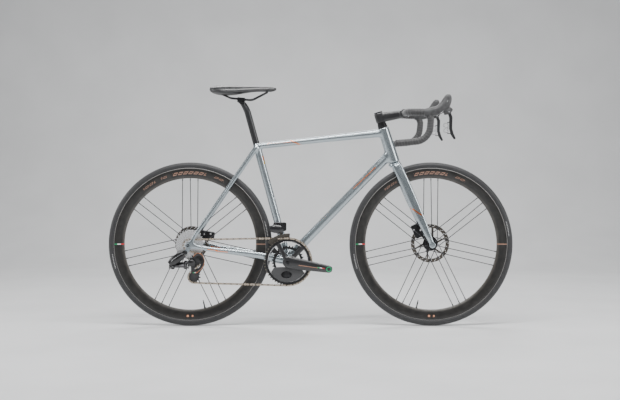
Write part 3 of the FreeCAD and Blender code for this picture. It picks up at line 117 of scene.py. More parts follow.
# --- materials --------------------------------------------------------------
class Nodes:
    """A material's node tree with short ways to add nodes."""

    def __init__(self, name, metal=0.0, rough=0.4, coat=0.0, coat_rough=0.1, sheen=0.0):
        self.mat = bpy.data.materials.new(name)
        self.mat.use_nodes = True
        self.tree = self.mat.node_tree
        self.bsdf = self.tree.nodes["Principled BSDF"]
        self.bsdf.inputs["Metallic"].default_value = metal
        self.bsdf.inputs["Roughness"].default_value = rough
        self.bsdf.inputs["Coat Weight"].default_value = coat
        self.bsdf.inputs["Coat Roughness"].default_value = coat_rough
        self.bsdf.inputs["Sheen Weight"].default_value = sheen
        self.coords = self.add("ShaderNodeTexCoord").outputs["Object"]
        self.bumps = None

    def add(self, kind, **options):
        node = self.tree.nodes.new(kind)
        for key, value in options.items():
            setattr(node, key, value)
        return node

    def put(self, socket, value):
        if isinstance(value, bpy.types.NodeSocket):
            self.tree.links.new(value, socket)
        else:
            socket.default_value = value

    def math(self, operation, a, b=0.0, c=0.0, clamp=False):
        node = self.add("ShaderNodeMath", operation=operation, use_clamp=clamp)
        for socket, value in zip(node.inputs, (a, b, c)):
            self.put(socket, value)
        return node.outputs[0]

    def axes(self):
        split = self.add("ShaderNodeSeparateXYZ")
        self.put(split.inputs[0], self.coords)
        return split.outputs

    def noise(self, scale, detail=3.0, stretch=None):
        node = self.add("ShaderNodeTexNoise")
        node.inputs["Scale"].default_value = scale
        node.inputs["Detail"].default_value = detail
        place = self.coords
        if stretch:
            mapping = self.add("ShaderNodeMapping")
            mapping.inputs["Scale"].default_value = stretch
            self.put(mapping.inputs[0], self.coords)
            place = mapping.outputs[0]
        self.put(node.inputs["Vector"], place)
        return node.outputs["Fac"]

    def mix(self, share, a, b):
        node = self.add("ShaderNodeMix", data_type="RGBA")
        self.put(node.inputs[0], share)
        self.put(node.inputs[6], a if isinstance(a, bpy.types.NodeSocket) else (*a, 1))
        self.put(node.inputs[7], b if isinstance(b, bpy.types.NodeSocket) else (*b, 1))
        return node.outputs[2]

    def ramp(self, value, low, high, start=0.0, end=1.0):
        node = self.add("ShaderNodeMapRange")
        for index, item in enumerate((value, low, high, start, end)):
            self.put(node.inputs[index], item)
        return node.outputs[0]

    def colour(self, value):
        linked = isinstance(value, bpy.types.NodeSocket)
        self.put(self.bsdf.inputs["Base Color"], value if linked else (*value, 1))

    def rough(self, value):
        self.put(self.bsdf.inputs["Roughness"], value)

    def bump(self, height, strength, distance=0.001):
        node = self.add("ShaderNodeBump")
        node.inputs["Strength"].default_value = strength
        node.inputs["Distance"].default_value = distance
        self.put(node.inputs["Height"], height)
        if self.bumps is not None:
            self.put(node.inputs["Normal"], self.bumps)
        self.bumps = node.outputs[0]
        self.put(self.bsdf.inputs["Normal"], self.bumps)

    def band(self, value, low, high, soft):
        """1 where value lies between low and high, with soft edges."""
        up = self.ramp(value, low - soft, low + soft)
        down = self.ramp(value, high - soft, high + soft, 1.0, 0.0)
        return self.math("MULTIPLY", up, down)

    def segment(self, a, b, half_width, soft=0.0003):
        """1 near the line from a to b in the XZ plane (millimetres)."""
        xyz = self.axes()
        ax, az, bx, bz = a[0] / 1000, a[1] / 1000, b[0] / 1000, b[1] / 1000
        length = math.hypot(bx - ax, bz - az)
        ux, uz = (bx - ax) / length, (bz - az) / length
        px = self.math("SUBTRACT", xyz[0], ax)
        pz = self.math("SUBTRACT", xyz[2], az)
        along = self.math("ADD", self.math("MULTIPLY", px, ux), self.math("MULTIPLY", pz, uz))
        across = self.math("SUBTRACT", self.math("MULTIPLY", px, uz), self.math("MULTIPLY", pz, ux))
        half = half_width / 1000
        near = self.ramp(self.math("ABSOLUTE", across), half - soft, half + soft, 1.0, 0.0)
        return self.math("MULTIPLY", near, self.band(along, 0.0, length, soft))


def speckled(name, dark, light, scale=60.0, metal=0.0, rough=(0.3, 0.45), grain=0.0, grain_scale=900.0,
             stretch=None, coat=0.0, sheen=0.0, spread=(0.35, 0.65)):
    """A surface whose colour and gloss vary gently, with a fine grain."""
    n = Nodes(name, metal, coat=coat, sheen=sheen)
    cloud = n.noise(scale, 4.0, stretch)
    n.colour(n.mix(n.ramp(cloud, *spread), dark, light))
    n.rough(n.ramp(n.noise(scale * 2.3, 3.0, stretch), 0.3, 0.7, *rough))
    if grain:
        n.bump(n.noise(grain_scale, 2.0, stretch), grain, 0.0004)
    return n.mat


def paint_material():
    """Silver metallic frame paint with fine flake and a few orange accents."""
    n = Nodes("silver_paint", 0.88, 0.3, coat=0.5, coat_rough=0.1)
    flake = n.ramp(n.noise(3200.0, 2.0), 0.3, 0.75)
    cloud = n.ramp(n.noise(7.0, 2.0), 0.35, 0.65)
    base = n.mix(flake, (0.40, 0.455, 0.485), (0.44, 0.495, 0.525))
    base = n.mix(n.math("MULTIPLY", cloud, 0.25), base, (0.37, 0.42, 0.45))
    marks = [((-84, 768), (-44, 750), 2.3), ((-84, 762), (-180, 754), 0.8), ((176, 568), (268, 657), 1.9),
             ((417, 486), (455, 461), 2.6), ((-421, 322.5), (-380, 318), 1.5),
             ((-388, 316), (-338, 310), 1.4), ((-198, 703), (-192, 683), 3.2)]
    for a, b, half in marks:
        base = n.mix(n.segment(a, b, half), base, ORANGE)
    base = n.mix(n.segment((-192, 683), (-190, 671), 3.0), base, (0.75, 0.5, 0.05))
    n.colour(base)
    n.rough(n.ramp(n.noise(30.0, 3.0), 0.3, 0.7, 0.20, 0.25))
    n.bump(n.noise(2400.0, 2.0), 0.006, 0.0001)
    return n.mat


def polar(n):
    """Radius and turn (degrees, 0 forward, 90 up) about the object's own origin."""
    xyz = n.axes()
    squares = n.math("ADD", n.math("MULTIPLY", xyz[0], xyz[0]), n.math("MULTIPLY", xyz[2], xyz[2]))
    turn = n.math("MULTIPLY", n.math("ARCTAN2", xyz[2], xyz[0]), 180 / math.pi)
    return n.math("SQRT", squares), turn


def rim_material():
    """Dark carbon with a painted highlight along the inner edge, a thin painted highlight line at the lip and
    small generic copper marks.
    """
    n = Nodes("rim_carbon", 0.0, 0.32, coat=0.25, coat_rough=0.25)
    radius, turn = polar(n)
    streak = n.noise(40.0, 5.0, (1.0, 4.0, 1.0))
    dark = n.mix(n.ramp(streak, 0.3, 0.7), (0.006, 0.0056, 0.0052), (0.018, 0.0165, 0.015))
    # Painted highlight: the paler colour (pale) and the radius ramp below paint the rim's inner edge lighter,
    # standing in for light caught on the curved profile.
    pale = n.mix(n.ramp(streak, 0.3, 0.7), (0.050, 0.045, 0.040), (0.080, 0.072, 0.064))
    colour = n.mix(n.ramp(radius, 0.2728, 0.284, 1.0, 0.0), dark, pale)
    # Painted highlight: a thin pale grey line at the lip, where the tyre meets the rim.
    colour = n.mix(n.band(radius, 0.3135, 0.3160, 0.0004), colour, (0.30, 0.29, 0.28))
    across = n.band(radius, 0.2725, 0.3125, 0.0003)
    slant = n.math("ADD", turn, n.math("MULTIPLY", radius, 160.0))
    cut = n.ramp(n.math("PINGPONG", slant, 2.1), 0.55, 0.7)
    hollow = n.math("SUBTRACT", 1.0, n.math("MULTIPLY", n.band(radius, 0.2930, 0.2975, 0.0003),
                                            n.ramp(n.math("PINGPONG", slant, 2.1), 1.0, 1.15)))
    for low, high, inner, outer in ((77.0, 104.0, 0.2895, 0.3010), (61.5, 70.5, 0.2915, 0.2990),
                                    (109.0, 114.0, 0.2915, 0.2990), (119.0, 130.5, 0.2915, 0.2990)):
        word = n.band(radius, inner, outer, 0.0003)
        mark = n.math("MULTIPLY", n.math("MULTIPLY", n.band(turn, low, high, 0.1), word), cut)
        colour = n.mix(n.math("MULTIPLY", mark, hollow), colour, DULL_COPPER)
    colour = n.mix(n.math("MULTIPLY", n.band(turn, -0.4, 0.4, 0.05), across), colour, DULL_COPPER)
    for low, high in ((-92.6, -90.9), (-88.6, -87.3)):
        small = n.math("MULTIPLY", n.band(turn, low, high, 0.08), n.band(radius, 0.293, 0.301, 0.0003))
        colour = n.mix(small, colour, COPPER)
    back = n.math("SUBTRACT", 180.0, n.math("ABSOLUTE", turn))
    dash = n.math("MULTIPLY", n.ramp(back, 0.35, 0.45, 1.0, 0.0), across)
    colour = n.mix(n.math("MULTIPLY", dash, n.band(radius, 0.300, 0.313, 0.0003)), colour, GREEN)
    colour = n.mix(n.math("MULTIPLY", dash, n.band(radius, 0.286, 0.300, 0.0003)), colour, WHITE)
    colour = n.mix(n.math("MULTIPLY", dash, n.band(radius, 0.2725, 0.286, 0.0003)), colour, RED)
    n.colour(colour)
    n.rough(n.ramp(n.noise(90.0, 4.0), 0.3, 0.7, 0.28, 0.42))
    n.bump(n.noise(700.0, 2.0, (1.0, 6.0, 1.0)), 0.08, 0.0003)
    return n.mat


def tyre_material():
    """Black rubber with a slick crown, finely ribbed sidewalls and pale bars."""
    n = Nodes("tyre_rubber", 0.0, 0.6, sheen=0.15)
    radius, turn = polar(n)
    colour = n.mix(n.ramp(n.noise(120.0, 4.0), 0.3, 0.7), (0.018, 0.018, 0.019), (0.026, 0.026, 0.028))
    crown = n.ramp(radius, 0.3345, 0.337)
    colour = n.mix(n.math("MULTIPLY", crown, 0.6), colour, (0.045, 0.045, 0.048))
    bars = n.ramp(n.math("PINGPONG", turn, 0.55), 0.2, 0.27)
    for low, high in ((-173.0, -162.0), (6.0, 17.0)):
        mark = n.math("MULTIPLY", n.band(turn, low, high, 0.05), n.band(radius, 0.3215, 0.3245, 0.0002))
        colour = n.mix(n.math("MULTIPLY", mark, bars), colour, (0.42, 0.42, 0.42))
    n.colour(colour)
    n.rough(n.ramp(n.noise(200.0, 3.0), 0.3, 0.7, 0.42, 0.62))
    side = n.ramp(radius, 0.327, 0.331, 1.0, 0.0)
    threads = n.math("PINGPONG", n.math("ADD", turn, n.math("MULTIPLY", radius, 900.0)), 0.25)
    n.bump(n.math("MULTIPLY", threads, side), 0.25, 0.0004)
    n.bump(n.noise(1400.0, 2.0), 0.12, 0.0003)
    return n.mat


def ring_material():
    """Black chainrings whose inner edge and teeth show bright metal."""
    n = Nodes("chainring_black", 0.6, 0.35)
    xyz = n.axes()
    x = n.math("SUBTRACT", xyz[0], BB[0] / 1000)
    z = n.math("SUBTRACT", xyz[2], BB[1] / 1000)
    radius = n.math("SQRT", n.math("ADD", n.math("MULTIPLY", x, x), n.math("MULTIPLY", z, z)))
    colour = n.mix(n.ramp(n.noise(90.0, 4.0), 0.3, 0.7), (0.014, 0.014, 0.015), (0.035, 0.035, 0.037))
    colour = n.mix(n.ramp(radius, 0.0925, 0.095), colour, (0.16, 0.145, 0.12))
    n.colour(colour)
    n.rough(n.ramp(n.noise(220.0, 3.0), 0.3, 0.7, 0.28, 0.42))
    return n.mat


def carbon_material(name, dark=(0.006, 0.006, 0.007), light=(0.03, 0.03, 0.033), marks=(), coat=0.7,
                    weave=340.0):
    """Clear-coated carbon with a fine twill; marks are (a, b, half width, colour)."""
    n = Nodes(name, 0.0, 0.36, coat=coat, coat_rough=0.08)
    xyz = n.axes()
    one = n.math("SINE", n.math("MULTIPLY", n.math("ADD", xyz[0], xyz[2]), weave * 6.283))
    cross = n.math("SUBTRACT", xyz[0], n.math("ADD", xyz[2], xyz[1]))
    two = n.math("SINE", n.math("MULTIPLY", cross, weave * 6.283))
    twill = n.ramp(n.math("MULTIPLY", one, two), -0.5, 0.5)
    cloud = n.ramp(n.noise(35.0, 4.0), 0.3, 0.7)
    colour = n.mix(n.math("MULTIPLY", twill, 0.55), dark, light)
    colour = n.mix(n.math("MULTIPLY", cloud, 0.35), colour, dark)
    for a, b, half, tint in marks:
        colour = n.mix(n.segment(a, b, half, 0.00025), colour, tint)
    n.colour(colour)
    n.rough(n.ramp(n.noise(150.0, 3.0), 0.3, 0.7, 0.28, 0.42))
    n.bump(twill, 0.05, 0.0002)
    return n.mat


def tape_material():
    n = Nodes("tape_black", 0.0, 0.6, sheen=0.3)
    n.colour(n.mix(n.ramp(n.noise(260.0, 5.0), 0.3, 0.7), (0.012, 0.012, 0.013), (0.055, 0.054, 0.055)))
    n.rough(n.ramp(n.noise(500.0, 3.0), 0.3, 0.7, 0.45, 0.65))
    cells = n.add("ShaderNodeTexVoronoi")
    cells.inputs["Scale"].default_value = 620.0
    n.put(cells.inputs["Vector"], n.coords)
    n.bump(cells.outputs["Distance"], 0.35, 0.0005)
    return n.mat


def leather_material():
    """Glossy black saddle leather: fine grain, soft creases and a worn sheen."""
    n = Nodes("saddle_leather", 0.0, 0.35, coat=0.2, coat_rough=0.2, sheen=0.1)
    n.colour(n.mix(n.ramp(n.noise(30.0, 5.0), 0.3, 0.7), (0.010, 0.010, 0.011), (0.028, 0.028, 0.030)))
    n.rough(n.ramp(n.noise(60.0, 4.0), 0.3, 0.7, 0.26, 0.44))
    cells = n.add("ShaderNodeTexVoronoi")
    cells.inputs["Scale"].default_value = 850.0
    n.put(cells.inputs["Vector"], n.coords)
    n.bump(cells.outputs["Distance"], 0.22, 0.0004)
    n.bump(n.noise(45.0, 3.0), 0.12, 0.0015)
    return n.mat


PAINT = paint_material()
RIM = rim_material()
TYRE = tyre_material()
RING = ring_material()
CARBON = carbon_material("carbon_gloss")
LEATHER = leather_material()
TAPE = tape_material()
BLACK = speckled("anodised_black", (0.010, 0.010, 0.011), (0.030, 0.030, 0.033), 70, 0.6, (0.28, 0.42), 0.05)
GLOSS = speckled("gloss_black", (0.008, 0.008, 0.009), (0.022, 0.022, 0.024), 60, 0.25, (0.16, 0.28), 0.03,
                 coat=0.6)
MATTE = speckled("matte_grey", (0.060, 0.060, 0.062), (0.078, 0.078, 0.081), 600, 0.35, (0.42, 0.50), 0.05,
                 1300)
PLASTIC = speckled("moulded_black", (0.012, 0.012, 0.013), (0.026, 0.026, 0.028), 90, 0.0, (0.38, 0.52), 0.18,
                   1500)
STEEL = speckled("brushed_steel", (0.42, 0.42, 0.43), (0.62, 0.62, 0.63), 110, 1.0, (0.22, 0.38), 0.1, 500,
                 (1.0, 5.0, 1.0))
SILVER = speckled("nickel_cogs", (0.80, 0.80, 0.81), (0.90, 0.90, 0.91), 420, 0.85, (0.22, 0.32), 0.03, 900)
CHAIN = speckled("chain_steel", (0.40, 0.335, 0.265), (0.52, 0.44, 0.35), 500, 1.0, (0.24, 0.36), 0.03, 900)
CHAIN_DARK = speckled("chain_inner", (0.16, 0.13, 0.10), (0.26, 0.22, 0.175), 500, 1.0, (0.28, 0.4), 0.03,
                      900)
SPOKE = speckled("spoke_black", (0.035, 0.035, 0.037), (0.085, 0.085, 0.09), 60, 0.8, (0.3, 0.42), 0.04)
ROTOR = speckled("rotor_steel", (0.085, 0.074, 0.064), (0.15, 0.132, 0.115), 180, 1.0, (0.26, 0.4), 0.15, 450)
COPPERY = speckled("copper_edge", (0.55, 0.24, 0.13), (0.75, 0.36, 0.21), 120, 0.9, (0.25, 0.36), 0.03)
GREENISH = speckled("green_ring", (0.0, 0.24, 0.09), (0.02, 0.36, 0.15), 120, 0.3, (0.3, 0.4), 0.03)
HOOD = speckled("hood_rubber", (0.022, 0.022, 0.023), (0.050, 0.050, 0.052), 70, 0.0, (0.42, 0.56), 0.25,
                1100,
                sheen=0.3)
CAGE = speckled("cage_plate", (0.075, 0.068, 0.06), (0.12, 0.108, 0.094), 500, 0.8, (0.28, 0.42), 0.06, 700)
PAD = speckled("pad_compound", (0.05, 0.045, 0.04), (0.12, 0.10, 0.09), 400, 0.1, (0.6, 0.8), 0.3, 1500)


# --- forms ------------------------------------------------------------------
def section(point, across, side, half_across, half_side, squareness=2.0, count=36):
    ring = []
    for step in range(count):
        c, s = math.cos(2 * math.pi * step / count), math.sin(2 * math.pi * step / count)
        u = math.copysign(abs(c) ** (2 / squareness), c) * half_across
        v = math.copysign(abs(s) ** (2 / squareness), s) * half_side
        ring.append((point + across * u + side * v) * 0.001)
    return ring


def loft(rings, caps=True, closed=False):
    verts = [v for ring in rings for v in ring]
    n = len(rings[0])
    faces = []
    for i in range(len(rings) if closed else len(rings) - 1):
        k = (i + 1) % len(rings)
        for j in range(n):
            m = (j + 1) % n
            faces.append((i * n + j, i * n + m, k * n + m, k * n + j))
    if caps and not closed:
        faces += [tuple(range(n - 1, -1, -1)), tuple((len(rings) - 1) * n + j for j in range(n))]
    return verts, faces


def smooth_stations(stations, steps):
    """Catmull-Rom stations (point, half height, half width)."""
    rows = [tuple(p) + (a, b) for p, a, b in stations]
    rows = [rows[0]] + rows + [rows[-1]]
    out = []
    for i in range(1, len(rows) - 2):
        for k in range(steps):
            t = k / steps
            out.append(tuple(0.5 * (2 * q + (r - p) * t + (2 * p - 5 * q + 4 * r - s) * t * t
                                    + (3 * q - p - 3 * r + s) * t ** 3)
                             for p, q, r, s in zip(rows[i - 1], rows[i], rows[i + 1], rows[i + 2])))
    out.append(rows[-2])
    return [(Vector(row[:3]), row[3], row[4]) for row in out]


def tube(stations, squareness=2.0, steps=8, count=36):
    stations = smooth_stations([(Vector(p), a, b) for p, a, b in stations], steps)
    rings = []
    last = len(stations) - 1
    for i, (point, a, b) in enumerate(stations):
        ahead = (stations[min(i + 1, last)][0] - stations[max(i - 1, 0)][0]).normalized()
        across = Vector((0, 1, 0)).cross(ahead).normalized() if abs(ahead.y) < 0.9 else Vector((0, 0, 1))
        rings.append(section(point, across, ahead.cross(across), a, b, squareness, count))
    return loft(rings)


def rod(a, b, radius, count=40, bevel=0.0):
    """A round bar with eased ends."""
    ahead = (b - a).normalized()
    across = ahead.orthogonal().normalized()
    side = ahead.cross(across)
    length = (b - a).length
    rows = [(0, radius - bevel), (bevel, radius), (length - bevel, radius), (length, radius - bevel)]
    rows = rows if bevel else [(0, radius), (length, radius)]
    return loft([section(a + ahead * s, across, side, r, r, 2.0, count) for s, r in rows])


def lathe(profile, count=256):
    """A ring turned about Y from (y, radius) points in millimetres."""
    rings = []
    for step in range(count):
        turn = 2 * math.pi * step / count
        rings.append([V(r * math.cos(turn), y, r * math.sin(turn)) for y, r in profile])
    return loft(rings, False, True)


def slab(points, y0, y1):
    """A plate between two Y levels from (x, z) corners."""
    return loft([[V(x, y, z) for x, z in points] for y in (y0, y1)])


def mirror(form):
    verts, faces = form
    return [Vector((v.x, -v.y, v.z)) for v in verts], [tuple(reversed(f)) for f in faces]


def moved(form, x, z):
    return [v + V(x, 0, z) for v in form[0]], form[1]


def thing(name, forms, material, body, origin=None, nodes=(), flat=False):
    mesh = bpy.data.meshes.new(name)
    verts, faces = [], []
    for v, f in forms:
        faces += [tuple(i + len(verts) for i in face) for face in f]
        verts += v
    mesh.from_pydata(verts, [], faces)
    bm = bmesh.new()
    bm.from_mesh(mesh)
    bmesh.ops.recalc_face_normals(bm, faces=bm.faces)
    bm.to_mesh(mesh)
    bm.free()
    mesh.shade_flat() if flat else mesh.shade_smooth()
    ob = bpy.data.objects.new(name, mesh)
    scene.collection.objects.link(ob)
    mesh.materials.append(material)
    if origin:
        ob.location = V(origin[0], 0, origin[1])
    finish_piece(ob, body, nodes)
    return ob


def node_form(name):
    """A CAD node's own faces, for a softened copy."""
    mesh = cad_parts[name].data
    return [v.co.copy() for v in mesh.vertices], [tuple(p.vertices) for p in mesh.polygons]


def finish_piece(ob, body, nodes=()):
    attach(ob, body)
    if nodes:
        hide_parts(*nodes)


def remeshed(name, forms, voxel, rounds, joints, material, body, nodes=(), swell=0.0):
    """Fuses closed forms by voxels and smooths them, more around the joints (point, reach)."""
    mesh = bpy.data.meshes.new(name + "_raw")
    verts, faces = [], []
    for v, f in forms:
        faces += [tuple(i + len(verts) for i in face) for face in f]
        verts += v
    mesh.from_pydata(verts, [], faces)
    bm = bmesh.new()
    bm.from_mesh(mesh)
    bmesh.ops.remove_doubles(bm, verts=bm.verts, dist=0.000002)
    bmesh.ops.recalc_face_normals(bm, faces=bm.faces)
    bm.to_mesh(mesh)
    bm.free()
    raw = bpy.data.objects.new(name + "_raw", mesh)
    scene.collection.objects.link(raw)
    mod = raw.modifiers.new("remesh", "REMESH")
    mod.mode = "VOXEL"
    mod.voxel_size = voxel * 0.001
    bpy.context.view_layer.update()
    done = bpy.data.meshes.new_from_object(raw.evaluated_get(bpy.context.evaluated_depsgraph_get()))
    bpy.data.objects.remove(raw)
    count = len(done.vertices)
    co = np.empty(count * 3)
    done.vertices.foreach_get("co", co)
    co = co.reshape(-1, 3)
    edges = np.empty(len(done.edges) * 2, int)
    done.edges.foreach_get("vertices", edges)
    a, b = edges.reshape(-1, 2).T
    degree = np.bincount(a, minlength=count) + np.bincount(b, minlength=count)
    strength = np.zeros(count)
    for point, reach in joints:
        gap = np.linalg.norm(co - np.array(point) * 0.001, axis=1)
        strength = np.maximum(strength, np.clip(1.6 - gap / (reach * 0.001), 0, 1))
    def smoothed(points, pull):
        total = np.stack([np.bincount(a, points[b, k], count) + np.bincount(b, points[a, k], count)
                          for k in range(3)], 1)
        return points + (total / degree[:, None] - points) * pull

    base, extra = rounds
    for _ in range(base):
        co = smoothed(co, 0.5)
    for _ in range(extra):
        co = smoothed(co, (0.5 * strength)[:, None])
    tree = BVHTree.FromPolygons(verts, faces)
    for i in np.nonzero(strength < 1)[0]:
        near = tree.find_nearest(co[i])[0]
        co[i] += (np.array(near) - co[i]) * (1 - strength[i])
    for _ in range(6):
        co = smoothed(co, 0.5)
    done.vertices.foreach_set("co", co.ravel())
    done.update()
    if swell:
        normals = np.empty(count * 3)
        done.vertices.foreach_get("normal", normals)
        grow = (swell * 0.001 * (0.35 + strength))[:, None]
        done.vertices.foreach_set("co", (co + normals.reshape(-1, 3) * grow).ravel())
        done.update()
    done.materials.clear()
    done.materials.append(material)
    done.shade_smooth()
    ob = bpy.data.objects.new(name, done)
    done.name = name
    scene.collection.objects.link(ob)
    finish_piece(ob, body, nodes)
    return ob


COARSE = 1.0


# --- frame ------------------------------------------------------------------
def frame_shell():
    rear, front = seat(492), steer(498)
    low, high = Vector((-98, 0, 272.5)), steer(410)
    forms = [loft([section(steer(s), Vector((0, 1, 0)), Vector((0.954, 0, 0.3007)), r, r, 2, 64)
                   for s, r in ((369, 25.6), (369.6, 26), (374, 25.6), (440, 24.2), (512, 23.2),
                                (517.4, 23.6), (518, 23.2))]),
             tube([(rear, 13, 14), (rear.lerp(front, 0.5), 14, 15), (rear.lerp(front, 0.93), 17.4, 17),
                   (front, 20, 17)], 2.3),
             tube([(low, 19.4, 21.4), (low.lerp(high, 0.5), 17.9, 18.9), (low.lerp(high, 0.93), 19.5, 18.6),
                   (high, 24, 18.6)], 2.3),
             rod(seat(0), seat(505), 15.7),
             rod(Vector((BB[0], -34, BB[1])), Vector((BB[0], 34, BB[1])), 23.2)]
    r = Vector((REAR[0], 0, REAR[1]))
    chain = [(r + Vector((30, 75, -5)), 8, 4), (r + Vector((95, 70, -17)), 9.5, 7),
             (r + Vector((170, 56, -27)), 11, 8), (r + Vector((250, 40, -39)), 12.5, 7.5),
             (r + Vector((315, 29, -50)), 14, 7.2), (r + Vector((385, 24, -66)), 16, 9)]
    top = seat(492)
    foot = r + Vector((16, 75, 24))

    def at(share, y):
        point = foot.lerp(top, share)
        return Vector((point.x, y, point.z))

    stay = [(at(0, 75), 7.5, 4), (at(0.12, 70), 8.2, 6.2), (at(0.35, 52), 8.7, 7.2), (at(0.62, 31), 9, 7.2),
            (at(0.85, 20), 9.5, 7.7), (at(1.0, 14), 11, 8)]
    plate = [(math.cos(t) * 13.5 + r.x, math.sin(t) * 13.5 + r.z) for t in (2.2, 2.7, 3.2, 3.7, 4.2, 4.6)]
    plate += [(r.x + 46, r.z - 19), (r.x + 56, r.z - 10), (r.x + 48, r.z + 1), (r.x + 22, r.z + 9),
              (r.x + 34, r.z + 34), (r.x + 28, r.z + 42), (r.x + 18, r.z + 38), (r.x + 2, r.z + 14)]
    for form in (tube(chain, 2.2), tube(stay, 2.2), slab(plate, 71, 79)):
        forms += [form, mirror(form)]
    joints = [(steer(395, -22), 34), (steer(498, -24), 26), (seat(480), 26), (seat(488, -16), 26),
              (Vector((-98, 0, 280)), 40), (r + Vector((40, 73, -8)), 20), (r + Vector((40, -73, -8)), 20),
              (r + Vector((22, 73, 30)), 18), (r + Vector((22, -73, 30)), 18),
              (r + Vector((375, 0, -60)), 30)]
    return remeshed("frame_shell", forms, 1.5 * COARSE, (20, 70), joints, PAINT, "frame",
                    ("head_tube", "top_tube", "down_tube", "seat_tube", "bb_shell", "chain_stays",
                     "seat_stays"), 0.15)


def fork_shell():
    crown = steer(352, 6)
    tip = Vector((FRONT[0], 0, FRONT[1]))

    def at(share, y):
        point = crown.lerp(tip, share)
        return Vector((point.x, y, point.z))

    leg = tube([(at(-0.02, 29.2), 20, 9), (at(0.12, 31.6), 20.8, 11), (at(0.38, 38), 20.6, 10),
                (at(0.66, 48), 17.5, 8.5), (at(0.88, 55), 12.7, 6.7), (at(0.98, 56), 11, 6.2)], 2.4)
    head = loft([section(steer(s, f), Vector((0, 1, 0)), Vector((0.954, 0, 0.3007)), b, a, 2.1, 64)
                 for s, f, a, b in ((367.4, 0, 25.2, 25.2), (362, 0.5, 25.4, 28), (355, 2, 24.6, 33.5),
                                    (349, 4, 23.0, 38.2))])
    boss = rod(Vector((tip.x, 50, tip.z)), Vector((tip.x, 62, tip.z)), 13.2)
    forms = [head, leg, mirror(leg), boss, mirror(boss), rod(steer(350), steer(580), 14.3)]
    joints = [(steer(352, 4, 28), 24), (steer(352, 4, -28), 24), (at(0.95, 56), 16), (at(0.95, -56), 16)]
    return remeshed("fork_shell", forms, 1.3 * COARSE, (18, 60), joints, PAINT, "steering", ("fork",), 0.15)


frame_shell()
fork_shell()


# --- wheels -----------------------------------------------------------------
def rim_profile():
    side = [(0.0, 272.0), (2.2, 272.1), (4.4, 272.9), (6.2, 274.8), (7.6, 278.0), (8.9, 283.0), (10.3, 289.5),
            (11.4, 296.0), (12.1, 302.0), (12.5, 308.0), (12.5, 313.6), (12.1, 314.7), (11.3, 315.0),
            (10.9, 314.4), (10.9, 311.2), (4.0, 311.0), (3.0, 308.0)]
    return side + [(-y, r) for y, r in reversed(side)][:-1]


def tyre_profile():
    points = []
    for step in range(29):
        turn = math.radians(-44 + 268 * step / 28)
        points.append((math.cos(turn) * 14.0, 324.5 + math.sin(turn) * 14.0))
    return [(8.4, 311.4), (10.1, 311.5)] + points + [(-10.1, 311.5), (-8.4, 311.4), (0, 312.5)]


for side, place, body in (("front", FRONT, "front_wheel"), ("rear", REAR, "rear_wheel")):
    thing(side + "_rim_turned", [lathe(rim_profile())], RIM, body, place, (side + "_rim",))
    thing(side + "_tyre_turned", [lathe(tyre_profile())], TYRE, body, place, (side + "_tyre",))
    turn = math.radians(-90 + 180 / 7 * (0.5 if side == "rear" else -0.5))
    out = Vector((-math.cos(turn), 0, -math.sin(turn)))
    base = Vector((place[0], 0, place[1])) - out * 273
    thing(side + "_valve", [rod(base, base + out * 3, 4.6, 20, 0.6), rod(base, base + out * 26, 2.8, 20, 0.4),
                            rod(base + out * 26, base + out * 34, 1.9, 16, 0.4)], BLACK, body)


# --- saddle cover -----------------------------------------------------------
def saddle_cover():
    """A padded cover with a shallow channel along the middle and a rolled edge."""
    rear, length, top = -417.0, 275.0, 996.0
    rows = [(0.0, 26, -11, -19), (0.012, 40, -8, -22), (0.04, 50, -5.2, -24), (0.09, 59, -3.0, -26),
            (0.17, 67.5, -1.2, -29), (0.25, 70.6, -0.4, -30.5), (0.33, 65, -0.8, -30.5),
            (0.42, 52, -2.0, -29.5),
            (0.51, 39, -3.2, -27), (0.6, 30, -4.0, -25), (0.72, 23.5, -4.6, -23), (0.84, 19.5, -5.2, -21.5),
            (0.93, 17, -6.4, -20.5), (0.98, 13.5, -9.0, -19.5), (1.0, 8, -12.5, -17)]
    stations = smooth_stations([(Vector((rear + length * s, 0, 0)), w, 0) for s, w, t, b in rows], 4)
    tops = smooth_stations([(Vector((rear + length * s, t, b)), 0, 0) for s, w, t, b in rows], 4)
    rings = []
    for (point, w, _), (heights, _, _) in zip(stations, tops):
        high, low = top + heights.y, top + heights.z
        ring = []
        for step in range(48):
            turn = 2 * math.pi * step / 48
            c, s = math.cos(turn), math.sin(turn)
            y = math.copysign(abs(c) ** 0.8, c) * w
            share = abs(y) / max(w, 1)
            if s >= 0:
                z = low + (high - low) * (1 - share ** 3.2) ** 0.55
                fade = min(1.0, (point.x - rear) / 40) * min(1.0, (length + rear - point.x) / 60)
                dip = 2.4 * math.exp(-(y / 9.0) ** 2) * fade
                z -= max(dip, 0.0)
            else:
                z = low - 0.4 + 1.2 * s * (1 - share ** 2)
            ring.append(V(point.x, y, z))
        rings.append(ring)
    ob = thing("saddle_padding", [loft(rings)], LEATHER, "saddle", nodes=("saddle_cover",))
    sub = ob.modifiers.new("subdivision", "SUBSURF")
    sub.levels = sub.render_levels = 1
    edge = [Vector((point.x, w * 0.985, top + heights.z - 0.3)) for (point, w, _), (heights, _, _)
            in zip(stations, tops)][2:-2]
    for way in (1, -1):
        line = [Vector((p.x, p.y * way, p.z)) for p in edge]
        thing("saddle_piping_" + ("left" if way > 0 else "right"), [follow(line, 1.1, 10)], PLASTIC, "saddle")


def follow(points, radius, count=24, wobble=None):
    """A round tube along points (millimetres); wobble(distance, turn) adds to its radius."""
    rings = []
    side = None
    travelled = 0.0
    for i, point in enumerate(points):
        ahead = (points[min(i + 1, len(points) - 1)] - points[max(i - 1, 0)]).normalized()
        side = ahead.orthogonal() if side is None else side
        side = (side - ahead * side.dot(ahead)).normalized()
        other = ahead.cross(side)
        if i:
            travelled += (point - points[i - 1]).length
        ring = []
        for step in range(count):
            turn = 2 * math.pi * step / count
            r = radius + (wobble(travelled, turn) if wobble else 0.0)
            ring.append((point + side * (r * math.cos(turn)) + other * (r * math.sin(turn))) * 0.001)
        rings.append(ring)
    return loft(rings)


saddle_cover()


